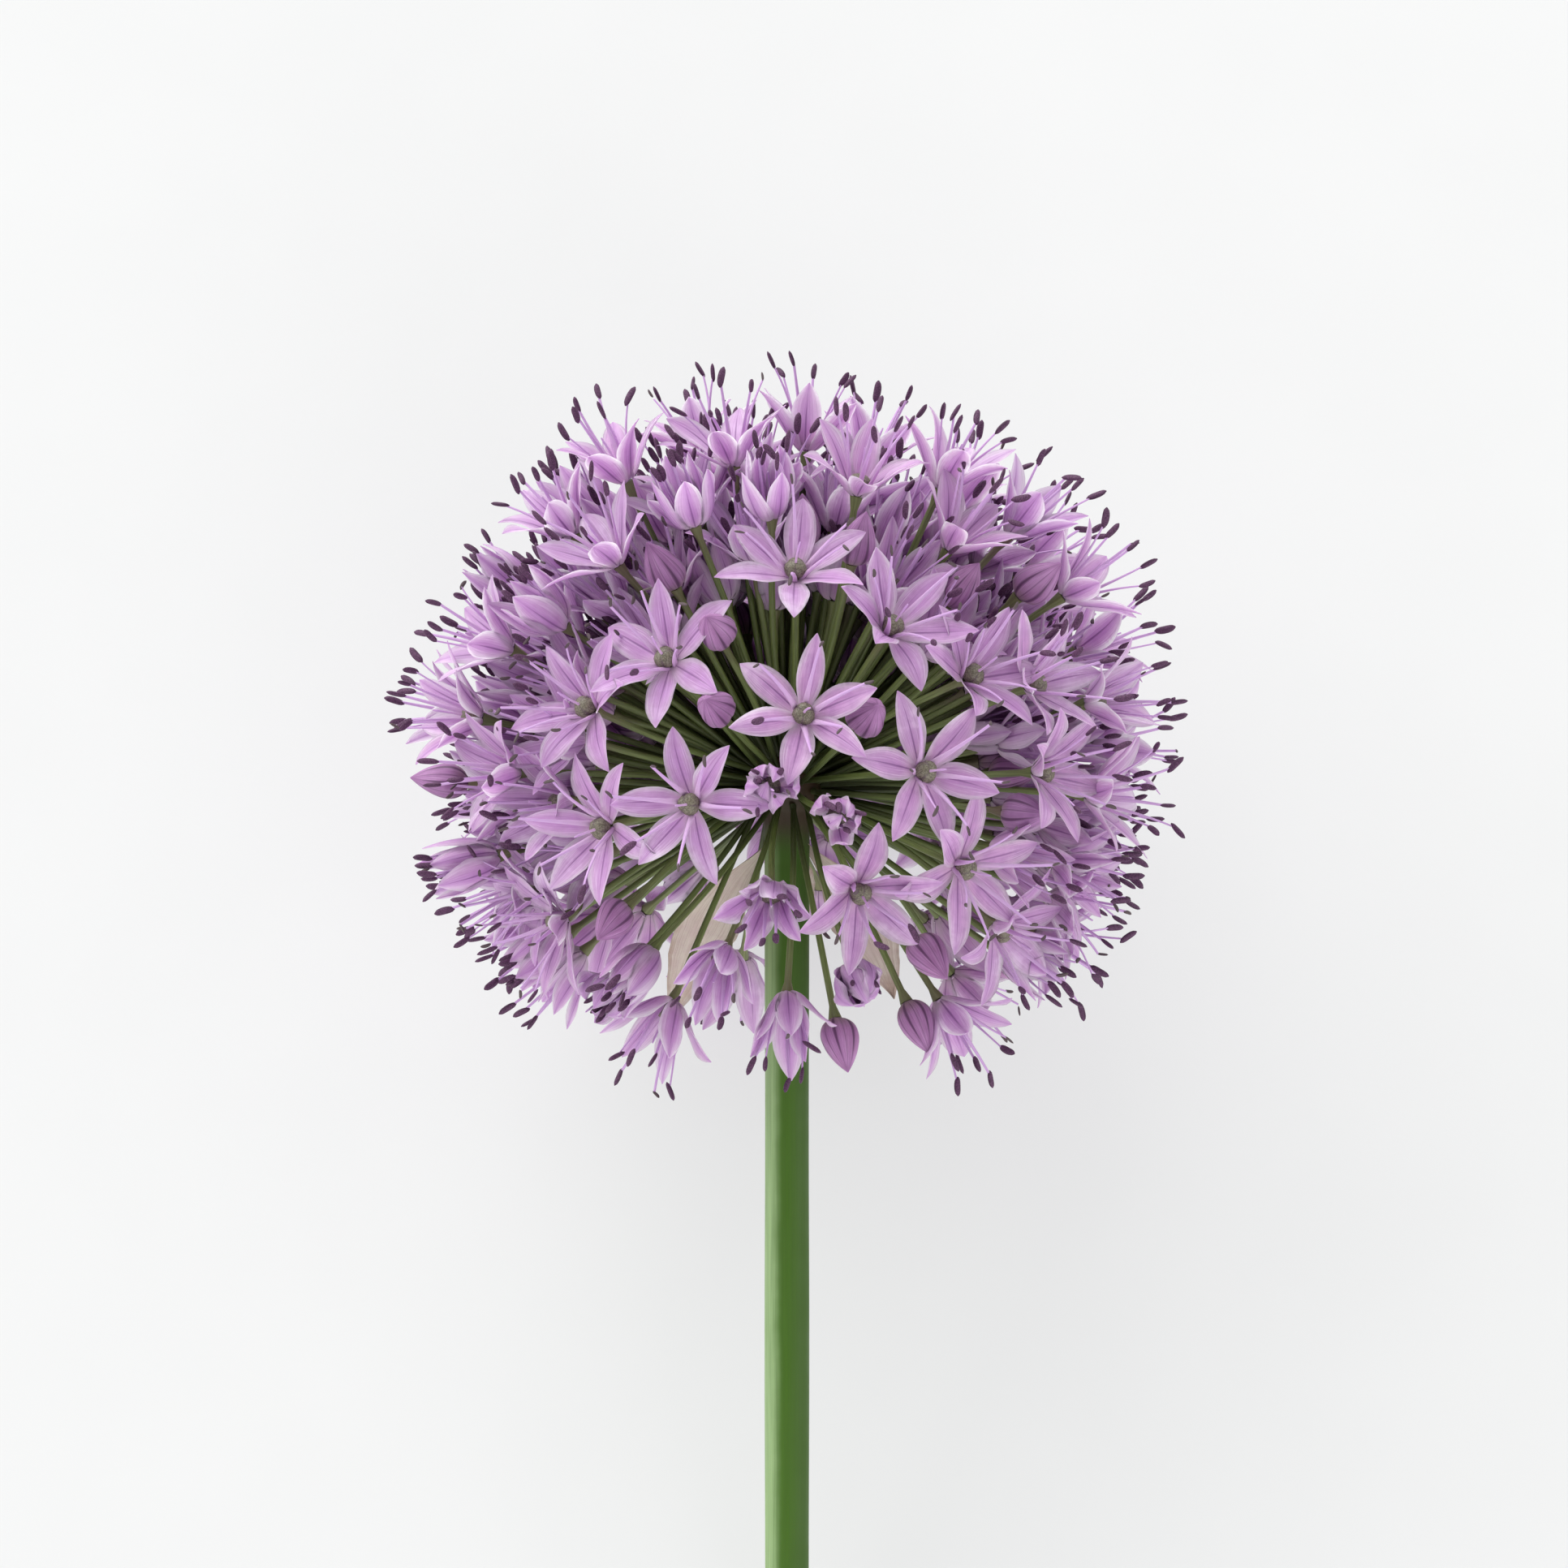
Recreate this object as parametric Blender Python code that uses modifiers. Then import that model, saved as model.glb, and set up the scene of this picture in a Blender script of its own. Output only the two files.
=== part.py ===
"""Allium flower head on its cut scape, laid on a flat surface.

Metres, +Z up. The head is at +Y and the cut end of the scape at -Y. The origin is the
middle of the object's footprint, on the surface that it lies on. Each tuft is two florets
whose stalks grow from one point of the receptacle.
"""

import math
import random
from dataclasses import dataclass

import bmesh
import bpy
from mathutils import Vector

MM = 0.001

# Scape: the bare stem, with the round receptacle that carries the stalks
STEM_RADIUS = 2.88 * MM
STEM_LENGTH = 130 * MM
RECEPTACLE_RADIUS = 4.6 * MM
STEM_TILT = math.radians(18)
STEM_STEPS = 24
CUT_EDGE = 0.3 * MM
COLLAR_RADIUS = 3.15 * MM  # the stem just under the receptacle
COLLAR_END = 8 * MM
DOME_DEGREES = range(0, 121, 20)

# Stalks (pedicels) and what stands on them
SEAT_GAP = 0.35 * MM
FOOT_RADIUS = 0.34 * MM
STALK_RADIUS = 0.42 * MM
NECK_RADIUS = 0.75 * MM
SECOND_FOOT_STEP = 0.45 * MM
LOW_FOOT_SHARE = 0.55  # how much of its downward slant a low stalk already has at its foot
NECK_TAPER = 2 * MM
SIDES = 6
TEPAL_LENGTH = 9.2 * MM
TEPAL_BASE_WIDTH = 2.4 * MM
TEPAL_THICKNESS = 0.8 * MM
OVARY_REACH = 1 * MM
STAMEN_HEIGHT = 9.6 * MM
STAMEN_RADIUS = 0.8 * MM
OPEN_ANGLE = math.radians(76)
LEAST_ANGLE = math.radians(30)
BELL_ANGLE = math.radians(38)
ANGLE_STEP = math.radians(2)
FLORET_GAP = 0.45 * MM

# Turned outlines of the closed kinds: radius and height above the neck, in millimetres
GOBLET_OUTLINE = ((2.5, 2.6), (2.9, 5.6), (1.9, 9.0), (0.6, 9.8))
BUD_OUTLINE = ((1.9, 1.6), (2.2, 3.1), (1.3, 5.0), (0.3, 6.2))
OPENER_OUTLINE = ((2.4, 1.6), (3.1, 3.6), (2.6, 5.0), (0.8, 5.6))
OUTLINES = {"goblet": GOBLET_OUTLINE, "bud": BUD_OUTLINE, "opener": OPENER_OUTLINE}
SOLID_RADIUS = {"goblet": 2.9 * MM, "bud": 2.2 * MM, "opener": 3.1 * MM}

# The open face of the head, placed by hand: kind, then across, along and reach in
# millimetres from the receptacle. Reach is the length from it to the flower's neck.
FACE_FLORETS = (
    ("star", 2, 9, 38), ("star", 1, 27, 40), ("star", -12, -2, 38), ("star", 17, 2, 38),
    ("star", -25, 10, 38), ("star", -23, -5, 38), ("star", -15, 16, 38), ("star", 13, 20, 38),
    ("star", 23, 14, 38), ("star", 22, -10, 38), ("star", 9, -13, 36), ("bell", -2, -13, 34),
    ("star", -8, -21, 34), ("bell", 0, -27, 34), ("star", -15, -28, 35), ("star", -35, 2, 39),
    ("star", -36, 18, 42), ("star", -22, 29, 41), ("star", -21, 40, 46), ("goblet", -12, 34, 42),
    ("goblet", -2, 35, 42), ("star", -7, 42, 44), ("star", 9, 38, 43), ("star", 20, 39, 45),
    ("star", 21, 31, 41), ("star", 29, 33, 45), ("star", 36, 25, 45), ("bell", 39, 11, 42),
    ("star", 32, 2, 39), ("star", 39, -1, 41), ("star", 35, -10, 38), ("star", 27, -18, 37),
    ("star", 20, -28, 36), ("goblet", -38, -9, 40), ("star", -29, -17, 37), ("star", -40, 9, 42),
    ("goblet", -29, 21, 40), ("star", -28, 33, 44), ("star", 31, 13, 40),
    ("bud", -14, 25, 35), ("bud", -8, 18, 35), ("bud", -8, 9, 34), ("bud", 9, 8, 34),
    ("bud", 8, 28, 36), ("bud", 20, 23, 35), ("bud", 29, 24, 40), ("bud", 27, -3, 34),
    ("bud", 6, -29, 33), ("bud", 15, -27, 33), ("bud", 16, -19, 32), ("bud", -20, -15, 33),
    ("opener", 8, -22, 33), ("opener", -2, 0, 36), ("opener", 6, -3, 37), ("opener", -21, -24, 35),
)

# Every other floret follows a spiral round the head, kept clear of those above
SPIRAL_COUNT = 620
GOLDEN_ANGLE = math.pi * (3 - math.sqrt(5))
STEM_CLEAR_ANGLE = math.radians(42)
CROWN_SPACING = math.radians(15.6)
BASE_SPACING = math.radians(21)
FACE_LEAST_UPPER, FACE_MOST_ALONG = 0.30, 0.72  # where the head is placed by hand
MIDDLE_REACH = 39.5 * MM
REACH_RISE = 5.5 * MM
REACH_SPREAD = 1.5 * MM
MOST_FLORETS = 112
KINDS, KIND_WEIGHTS = ("star", "goblet", "bud"), (8, 1, 1)
PRESS_STEPS = 6
SEED = 7

# Spathe: the papery valves that once wrapped the head, turned down round the scape
VALVE_TURNS = (192, 348, 270)  # degrees round the scape, 0 to the right and 90 upwards
VALVE_LENGTHS = (27, 24, 22)
VALVE_FOOT_WIDTH = 2.1 * MM
VALVE_BELLY_WIDTH = 7.1 * MM
VALVE_ARCH = 1.5 * MM
VALVE_CUP = 0.3
VALVE_POINT = 0.8
VALVE_THICKNESS = 0.35 * MM
VALVE_ROWS, VALVE_COLUMNS = 7, 4
VALVE_FOOT_OUT, VALVE_FOOT_DOWN = 3.5 * MM, 6.2 * MM
VALVE_LEAN = math.radians(27)

RIGHT = Vector((1, 0, 0))
CROWN = Vector((0, math.cos(STEM_TILT), math.sin(STEM_TILT)))
UPPER = RIGHT.cross(CROWN)
RECEPTACLE_HEIGHT = STEM_LENGTH * CROWN.z + STEM_RADIUS * CROWN.y
RECEPTACLE = Vector((0, 0, RECEPTACLE_HEIGHT))

LILAC = (0.50, 0.27, 0.60)
BUD_PINK = (0.42, 0.22, 0.42)
STEM_GREEN = (0.16, 0.30, 0.07)
PAPER_BEIGE = (0.66, 0.56, 0.47)


@dataclass
class Floret:
    """One flower or bud: its kind, the way it points, its reach and the room round it."""

    kind: str
    direction: Vector
    reach: float
    room: float = 0.0
    angle: float = 0.0

    def neck(self):
        return RECEPTACLE + self.direction * self.reach


def clear_scene():
    for obj in list(bpy.data.objects):
        bpy.data.objects.remove(obj, do_unlink=True)


def new_collection(name):
    collection = bpy.data.collections.new(name)
    bpy.context.scene.collection.children.link(collection)
    return collection


def dress(obj, colour, roughness):
    """Gives the object a Principled material of its own."""
    material = bpy.data.materials.new(obj.name + "_finish")
    material.use_nodes = True
    shader = material.node_tree.nodes["Principled BSDF"]
    shader.inputs["Base Color"].default_value = (*colour, 1)
    shader.inputs["Roughness"].default_value = roughness
    shader.inputs["Metallic"].default_value = 0
    obj.data.materials.append(material)


def head_direction(across, along, upper):
    return (RIGHT * across + CROWN * along + UPPER * upper).normalized()


def face_florets():
    """The hand-placed florets, lifted from the face onto the round of the head."""
    placed = []
    for kind, across, along, reach in FACE_FLORETS:
        depth = math.sqrt(max(reach**2 - across**2 - along**2, 0))
        direction = head_direction(across, along, depth)
        placed.append(Floret(kind, direction, reach * MM))
    return placed


def spiral_florets(placed):
    """Fills the rest of the head along a golden spiral, wherever a floret has room."""
    rng = random.Random(SEED)
    for index in range(SPIRAL_COUNT):
        along = 1 - 2 * (index + 0.5) / SPIRAL_COUNT
        round_angle = index * GOLDEN_ANGLE
        ring = math.sqrt(1 - along**2)
        upper = ring * math.sin(round_angle)
        direction = head_direction(ring * math.cos(round_angle), along, upper)
        if along < -math.cos(STEM_CLEAR_ANGLE):
            continue
        if upper > FACE_LEAST_UPPER and along < FACE_MOST_ALONG:
            continue
        spacing = CROWN_SPACING + max(-along, 0) * (BASE_SPACING - CROWN_SPACING)
        if any(direction.angle(other.direction) < spacing for other in placed):
            continue
        if len(placed) == MOST_FLORETS:
            break
        reach = MIDDLE_REACH + REACH_RISE * along + rng.uniform(-1, 1) * REACH_SPREAD
        kind = rng.choices(KINDS, KIND_WEIGHTS)[0]
        placed.append(Floret(kind, direction, reach))
    return placed[: len(placed) // 2 * 2]


def give_room(florets):
    """Each floret keeps to a cone round its stalk that no neighbour's cone enters."""
    solid = {f.direction.freeze(): SOLID_RADIUS.get(f.kind, 0) / f.reach for f in florets}
    for floret in florets:
        rooms = []
        for other in florets:
            if other is floret:
                continue
            between = floret.direction.angle(other.direction)
            taken = solid[other.direction]
            rooms.append(between - taken if taken else between / 2)
        floret.room = min(rooms)


def open_out(floret):
    """Opens the tepals as far as the kind and the room allow."""
    floret.angle = BELL_ANGLE if floret.kind == "bell" else OPEN_ANGLE
    while floret.angle > LEAST_ANGLE:
        spread = NECK_RADIUS + TEPAL_LENGTH * math.sin(floret.angle) + FLORET_GAP
        height = floret.reach + TEPAL_LENGTH * math.cos(floret.angle)
        if spread <= height * math.tan(floret.room):
            break
        floret.angle -= ANGLE_STEP


def ring(centre, turn, levels):
    """Points round an axis through centre, from a (radius, height) level for each one."""
    points = []
    for index, (radius, height) in enumerate(levels):
        angle = 2 * math.pi * index / len(levels)
        local = Vector((radius * math.cos(angle), radius * math.sin(angle), height))
        points.append(centre + turn @ local)
    return points


def flower_rings(floret):
    """Rings of the flower above its neck: an open one with six tepals, or a closed one."""
    turn = floret.direction.to_track_quat("Z", "Y")
    neck = floret.neck()
    rings = [ring(neck, turn, [(NECK_RADIUS, 0)] * SIDES)]
    if floret.kind in OUTLINES:
        for radius, height in OUTLINES[floret.kind]:
            rings.append(ring(neck, turn, [(radius * MM, height * MM)] * SIDES))
        return rings
    sine, cosine = math.sin(floret.angle), math.cos(floret.angle)

    def level(length, lift):
        return (NECK_RADIUS + length * sine - lift * cosine, length * cosine + lift * sine)

    tip = level(TEPAL_LENGTH, 0)
    notch = level(TEPAL_BASE_WIDTH, TEPAL_THICKNESS / 3)
    ovary = level(OVARY_REACH, TEPAL_THICKNESS)
    rings.append(ring(neck, turn, [tip, notch] * SIDES))
    rings.append(ring(neck, turn, [ovary] * SIDES))
    rings.append(ring(neck, turn, [(STAMEN_RADIUS, STAMEN_HEIGHT)] * SIDES))
    return rings


def press_onto_surface(floret):
    """Shortens the reach of a floret that would pass through the surface, so it just meets it."""
    for _ in range(PRESS_STEPS):
        open_out(floret)
        lowest = min(point.z for points in flower_rings(floret) for point in points)
        if lowest >= 0:
            break
        floret.reach += lowest / abs(floret.direction.z)


def loft(bm, low, high):
    """Joins two rings. One may have twice the other's points, as a neck and a star do."""
    count = len(low)
    if len(high) == count:
        for i in range(count):
            j = (i + 1) % count
            bm.faces.new((low[i], low[j], high[j], high[i]))
        return
    few, many = (low, high) if len(high) > count else (high, low)
    for i in range(len(few)):
        j = (i + 1) % len(few)
        tip, notch, next_tip = many[2 * i], many[2 * i + 1], many[2 * j]
        bm.faces.new((few[i], tip, notch))
        bm.faces.new((few[i], notch, few[j]))
        bm.faces.new((few[j], notch, next_tip))


def add_object(name, bm, collection):
    bmesh.ops.recalc_face_normals(bm, faces=bm.faces)
    mesh = bpy.data.meshes.new(name)
    bm.to_mesh(mesh)
    bm.free()
    obj = bpy.data.objects.new(name, mesh)
    collection.objects.link(obj)
    return obj


def make_floret(name, floret, foot, collection):
    """A stalk from its foot on the receptacle, and the flower on it, as one closed loft."""
    stalk = (floret.neck() - foot).normalized()
    turn = stalk.to_track_quat("Z", "Y")
    rings = [ring(foot, turn, [(FOOT_RADIUS, 0)] * SIDES)]
    rings.append(ring(floret.neck() - stalk * NECK_TAPER, turn, [(STALK_RADIUS, 0)] * SIDES))
    rings += flower_rings(floret)
    bm = bmesh.new()
    loops = [[bm.verts.new(point) for point in points] for points in rings]
    for low, high in zip(loops, loops[1:]):
        loft(bm, low, high)
    bm.faces.new(loops[0])
    bm.faces.new(loops[-1])
    return add_object(name, bm, collection)


def foot_of(first, second, step):
    """Where two stalks meet the receptacle. Low ones start nearer its middle and bend down."""
    middle = (first.direction + second.direction).normalized()
    along = math.asin(middle.dot(CROWN))
    level = middle - CROWN * middle.dot(CROWN)
    held = LOW_FOOT_SHARE * along if along < 0 else along
    outward = level.normalized() * math.cos(held) + CROWN * math.sin(held)
    return RECEPTACLE + outward * (RECEPTACLE_RADIUS + SEAT_GAP + step)


def pair_up(florets):
    """Pairs neighbours: a greedy start, then partners are swapped while that shortens the spans."""
    left = sorted(florets, key=lambda f: f.direction.dot(CROWN))
    pairs = []
    while left:
        first = left.pop(0)
        second = min(left, key=lambda f: first.direction.angle(f.direction))
        left.remove(second)
        pairs.append([first, second])
    swapped = True
    while swapped:
        swapped = False
        for i, one in enumerate(pairs):
            for two in pairs[i + 1:]:
                swapped = swap_partners(one, two) or swapped
    return pairs


def span(pair):
    return pair[0].direction.angle(pair[1].direction) ** 2


def swap_partners(one, two):
    """Exchanges partners between two pairs if the pairs get closer by it."""
    before = span(one) + span(two)
    for cross in ([one[0], two[0], one[1], two[1]], [one[0], two[1], one[1], two[0]]):
        after = span(cross[:2]) + span(cross[2:])
        if after < before - 1e-6:
            one[:], two[:] = cross[:2], cross[2:]
            return True
    return False


def make_tufts(pairs, collection, helpers):
    """One node for each pair: the second floret is joined to the first at the foot."""
    for number, (first, second) in enumerate(pairs, start=1):
        name = f"floret_tuft_{number:02d}"
        tuft = make_floret(name, first, foot_of(first, second, 0), collection)
        foot = foot_of(first, second, SECOND_FOOT_STEP)
        partner = make_floret(name + "_partner", second, foot, helpers)
        partner.hide_render = True
        partner.display_type = "WIRE"
        join = tuft.modifiers.new("join_partner", "BOOLEAN")
        join.operation = "UNION"
        join.object = partner
        closed = {first.kind, second.kind} <= {"bud", "opener"}
        dress(tuft, BUD_PINK if closed else LILAC, 0.55)


def make_scape(collection):
    """Stem and receptacle in one turned piece, cut square at the lower end."""
    r = RECEPTACLE_RADIUS
    turns = [math.radians(degrees) for degrees in DOME_DEGREES]
    profile = [(r * math.sin(turn), r * math.cos(turn)) for turn in turns]
    profile += [
        (COLLAR_RADIUS, -r),
        (STEM_RADIUS, -COLLAR_END),
        (STEM_RADIUS, CUT_EDGE - STEM_LENGTH),
        (STEM_RADIUS - CUT_EDGE, -STEM_LENGTH),
        (0, -STEM_LENGTH),
    ]
    mesh = bpy.data.meshes.new("scape")
    edges = [(i, i + 1) for i in range(len(profile) - 1)]
    mesh.from_pydata([(x, 0, z) for x, z in profile], edges, [])
    scape = bpy.data.objects.new("scape", mesh)
    collection.objects.link(scape)
    turned = scape.modifiers.new("turned", "SCREW")
    turned.steps = turned.render_steps = STEM_STEPS
    turned.use_merge_vertices = True
    turned.merge_threshold = 0.00001
    scape.rotation_mode = "QUATERNION"
    scape.rotation_quaternion = CROWN.to_track_quat("Z", "Y")
    scape.location = RECEPTACLE
    dress(scape, STEM_GREEN, 0.5)


def make_valve(number, turn_degrees, length, collection):
    """One spathe valve: a cupped, pointed sheet that leaves the scape and hangs along it."""
    turn = math.radians(turn_degrees)
    outward = RIGHT * math.cos(turn) + UPPER * math.sin(turn)
    sideways = CROWN.cross(outward)
    foot = RECEPTACLE + outward * VALVE_FOOT_OUT - CROWN * VALVE_FOOT_DOWN
    lean = outward * math.sin(VALVE_LEAN) - CROWN * math.cos(VALVE_LEAN)
    bm = bmesh.new()
    rows = []
    for row in range(VALVE_ROWS):
        t = row / (VALVE_ROWS - 1)
        middle = foot + lean * length * MM * t + outward * VALVE_ARCH * math.sin(math.pi * t)
        half = (VALVE_FOOT_WIDTH + VALVE_BELLY_WIDTH * math.sin(math.pi * t) ** 1.2) / 2
        half *= 1 - VALVE_POINT * t**4
        cells = []
        for column in range(VALVE_COLUMNS + 1):
            side = 2 * column / VALVE_COLUMNS - 1
            cells.append(bm.verts.new(middle + (sideways * side - outward * VALVE_CUP * side**2 * t) * half))
        rows.append(cells)
    for low, high in zip(rows, rows[1:]):
        for i in range(VALVE_COLUMNS):
            bm.faces.new((low[i], low[i + 1], high[i + 1], high[i]))
    valve = add_object(f"spathe_valve_{number}", bm, collection)
    sheet = valve.modifiers.new("sheet", "SOLIDIFY")
    sheet.thickness = VALVE_THICKNESS
    sheet.offset = 0
    dress(valve, PAPER_BEIGE, 0.8)


def centre_on_footprint(objects):
    """Moves the whole object so that the middle of its footprint is the origin."""
    bpy.context.view_layer.update()
    graph = bpy.context.evaluated_depsgraph_get()
    points = []
    for obj in objects:
        evaluated = obj.evaluated_get(graph)
        points += [evaluated.matrix_world @ vertex.co for vertex in evaluated.data.vertices]
    low = Vector(min(p[i] for p in points) for i in range(3))
    high = Vector(max(p[i] for p in points) for i in range(3))
    shift = Vector(((low.x + high.x) / -2, (low.y + high.y) / -2, -low.z))
    for obj in objects:
        obj.location += shift


def main():
    clear_scene()
    head = new_collection("allium_flower_head")
    helpers = new_collection("joined_partners")
    florets = spiral_florets(face_florets())
    give_room(florets)
    for floret in florets:
        press_onto_surface(floret)
    make_scape(head)
    for number, (turn, length) in enumerate(zip(VALVE_TURNS, VALVE_LENGTHS), start=1):
        make_valve(number, turn, length, head)
    make_tufts(pair_up(florets), head, helpers)
    centre_on_footprint([*head.objects, *helpers.objects])


main()
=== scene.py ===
"""Allium flower head lying on a pale surface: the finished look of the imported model.

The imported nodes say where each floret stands, how far it has opened and how large it is.
This script reads them and grows the fine flowers, stalks, stamens and buds in their places.
"""

import logging
import math
from dataclasses import dataclass, field, replace
from enum import Enum

import bmesh
import bpy
import numpy as np
from mathutils import Matrix, Vector


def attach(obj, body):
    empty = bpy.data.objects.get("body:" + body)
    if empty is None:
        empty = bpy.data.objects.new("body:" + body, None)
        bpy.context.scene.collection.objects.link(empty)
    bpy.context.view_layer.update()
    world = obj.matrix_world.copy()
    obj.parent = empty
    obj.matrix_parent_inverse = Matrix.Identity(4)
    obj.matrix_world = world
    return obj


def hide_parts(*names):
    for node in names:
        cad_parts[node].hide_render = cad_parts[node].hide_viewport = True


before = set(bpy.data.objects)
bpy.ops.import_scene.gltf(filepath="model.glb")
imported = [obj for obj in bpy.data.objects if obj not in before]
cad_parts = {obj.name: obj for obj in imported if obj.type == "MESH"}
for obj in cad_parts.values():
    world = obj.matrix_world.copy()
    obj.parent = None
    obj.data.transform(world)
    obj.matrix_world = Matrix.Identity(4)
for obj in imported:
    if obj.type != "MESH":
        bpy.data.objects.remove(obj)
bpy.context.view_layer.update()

Array = np.ndarray
Colour = tuple[float, float, float]
MM = 0.001
TURN = 2 * math.pi
GOLDEN_ANGLE = math.pi * (3 - math.sqrt(5))
LOG = logging.getLogger("allium")
STRIP_MAP, MARK_MAP = "strip", "mark"
PACKED_NECK = 0.75 * MM
PACKED_TEPAL = 9.2 * MM


def paint(red: int, green: int, blue: int) -> Colour:
    """Turns a display colour into the linear one that shaders work in.

    Args:
        red: display red, 0 to 255.
        green: display green, 0 to 255.
        blue: display blue, 0 to 255.

    Returns:
        The linear colour.
    """
    shares = np.array([red, green, blue]) / 255
    linear = np.where(shares <= 0.04045, shares / 12.92, ((shares + 0.055) / 1.055) ** 2.4)
    return tuple(float(value) for value in linear)


def unit(vector: Array) -> Array:
    """Returns the vector at length one."""
    return vector / np.linalg.norm(vector)


def smooth_step(values: Array) -> Array:
    """Returns 0 to 1 with a soft start and end."""
    clipped = np.clip(values, 0, 1)
    return clipped * clipped * (3 - 2 * clipped)


def around(sides: int) -> Array:
    """Returns evenly spaced angles, one for each side of a ring."""
    return np.arange(sides) * TURN / sides


def stacked(x: Array, y: Array, z: Array) -> Array:
    """Makes points of three coordinates, each spread to the size of the largest."""
    return np.stack(np.broadcast_arrays(x, y, z), axis=-1)


def turned(first: Array, second: Array, angle: Array) -> tuple[Array, Array]:
    """Turns a pair of coordinates.

    Args:
        first: the coordinate along the first axis.
        second: the one along the second axis.
        angle: how far to turn them.

    Returns:
        The two coordinates after the turn.
    """
    cosine, sine = np.cos(angle), np.sin(angle)
    return first * cosine - second * sine, first * sine + second * cosine


# ---------------------------------------------------------------------------
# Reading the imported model
# ---------------------------------------------------------------------------


class FloretKind(Enum):
    """How far a flower has come."""

    OPEN = "open"
    GOBLET = "goblet"
    OPENER = "opener"
    BUD = "bud"


def welded(node: bpy.types.Object) -> tuple[Array, list[tuple[int, ...]]]:
    """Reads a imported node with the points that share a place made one.

    Args:
        node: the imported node's object.

    Returns:
        The points, and each face's point numbers.
    """
    raw = np.array([vertex.co for vertex in node.data.vertices], dtype=float)
    points, index = np.unique(np.round(raw, 6), axis=0, return_inverse=True)
    index = index.reshape(-1)
    faces = [tuple(int(index[i]) for i in polygon.vertices) for polygon in node.data.polygons]
    return points, faces


@dataclass(frozen=True)
class HeadFrame:
    """The laid flower's own axes and main sizes, read from its scape."""

    receptacle: Array
    right: Array
    crown: Array
    upper: Array
    dome_radius: float
    stem_radius: float
    stem_length: float

    @classmethod
    def from_scape(cls, node: bpy.types.Object) -> "HeadFrame":
        """Measures the turned scape: both halves of it have their middle on its axis.

        Args:
            node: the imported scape.

        Returns:
            The axes and sizes.
        """
        points, _ = welded(node)
        halfway = (points[:, 1].min() + points[:, 1].max()) / 2
        lower, higher = points[points[:, 1] < halfway], points[points[:, 1] >= halfway]
        start = lower.mean(axis=0)
        crown = unit(higher.mean(axis=0) - start)
        right = unit(np.array([1.0, 0.0, 0.0]) - crown * crown[0])
        heights = (points - start) @ crown
        across = np.linalg.norm(points - start - np.outer(heights, crown), axis=1)
        in_head = points[:, 1] >= halfway
        dome_radius = float(across[in_head].max())
        receptacle = start + crown * (heights.max() - dome_radius)
        length = float((heights.max() - dome_radius) - heights.min())
        radius = float(across[~in_head].max())
        return cls(receptacle, right, crown, np.cross(right, crown), dome_radius, radius, length)

    def direction(self, across: float, along: float, upper: float) -> Array:
        """Returns the unit direction with these shares of right, crown and upper."""
        return unit(self.right * across + self.crown * along + self.upper * upper)


@dataclass
class FloretSite:
    """Where one floret stands, and how far it has opened."""

    foot: Array
    direction: Array
    reach: float
    spread: float
    height: float
    kind: FloretKind
    seed: int

    def neck(self, head: HeadFrame) -> Array:
        """Returns the point where the stalk meets the flower."""
        closed = self.kind in (FloretKind.BUD, FloretKind.OPENER)
        return head.receptacle + self.direction * (self.reach - (0 if closed else 1.6 * MM))


@dataclass(frozen=True)
class SiteReader:
    """Reads the florets out of a packed tuft, by the shape that each one has there."""

    head: HeadFrame
    stalk_zone: float = 15 * MM
    foot_zone: float = 8 * MM
    neck_taper: float = 2 * MM
    top_zone: float = 0.5 * MM
    passes: int = 3
    fewest_points: int = 12
    closed_spread: float = 3.6 * MM
    bud_spread: float = 2.6 * MM
    tall: float = 8 * MM

    def groups(self, points: Array, faces: list[tuple[int, ...]]) -> list[Array]:
        """Splits the outer part of the tuft into its separate flowers.

        Args:
            points: the tuft's points.
            faces: the tuft's faces.

        Returns:
            The points of each flower.
        """
        outside = np.linalg.norm(points - self.head.receptacle, axis=1) > self.stalk_zone
        group = list(range(len(points)))

        def root(i: int) -> int:
            """Returns the number that stands for this point's flower."""
            while group[i] != i:
                i = group[i]
            return i

        for face in faces:
            if all(outside[i] for i in face):
                for i in face[1:]:
                    group[root(i)] = root(face[0])
        roots = np.array([root(i) for i in range(len(points))])
        found = [points[(roots == r) & outside] for r in sorted(set(roots[outside]))]
        return [flower for flower in found if len(flower) >= self.fewest_points]

    def kind_of(self, spread: float, height: float) -> FloretKind:
        """Tells a flower's kind from its size.

        Args:
            spread: how far it reaches from its axis.
            height: from neck to top.

        Returns:
            The kind.
        """
        if spread > self.closed_spread:
            return FloretKind.OPEN
        if height > self.tall:
            return FloretKind.GOBLET
        return FloretKind.BUD if spread < self.bud_spread else FloretKind.OPENER

    def read(self, node: bpy.types.Object, seed: int) -> list[FloretSite]:
        """Reads every floret of a tuft.

        Args:
            node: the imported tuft.
            seed: the number that its florets' own seeds start from.

        Returns:
            One site for each floret.
        """
        points, faces = welded(node)
        centre = self.head.receptacle
        foot = points[np.linalg.norm(points - centre, axis=1) < self.foot_zone].mean(axis=0)
        sites = []
        for flower in self.groups(points, faces):
            direction = unit(flower.mean(axis=0) - centre)
            for _ in range(self.passes):
                along = (flower - centre) @ direction
                top = flower[along > along.max() - self.top_zone]
                direction = unit(top.mean(axis=0) - centre)
            along = (flower - centre) @ direction
            across = np.linalg.norm(flower - centre - np.outer(along, direction), axis=1)
            reach = float(along.min()) + self.neck_taper
            spread, height = float(across.max()), float(along.max()) - reach
            kind = self.kind_of(spread, height)
            sites.append(FloretSite(foot, direction, reach, spread, height, kind, seed + len(sites)))
        return sites


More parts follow.
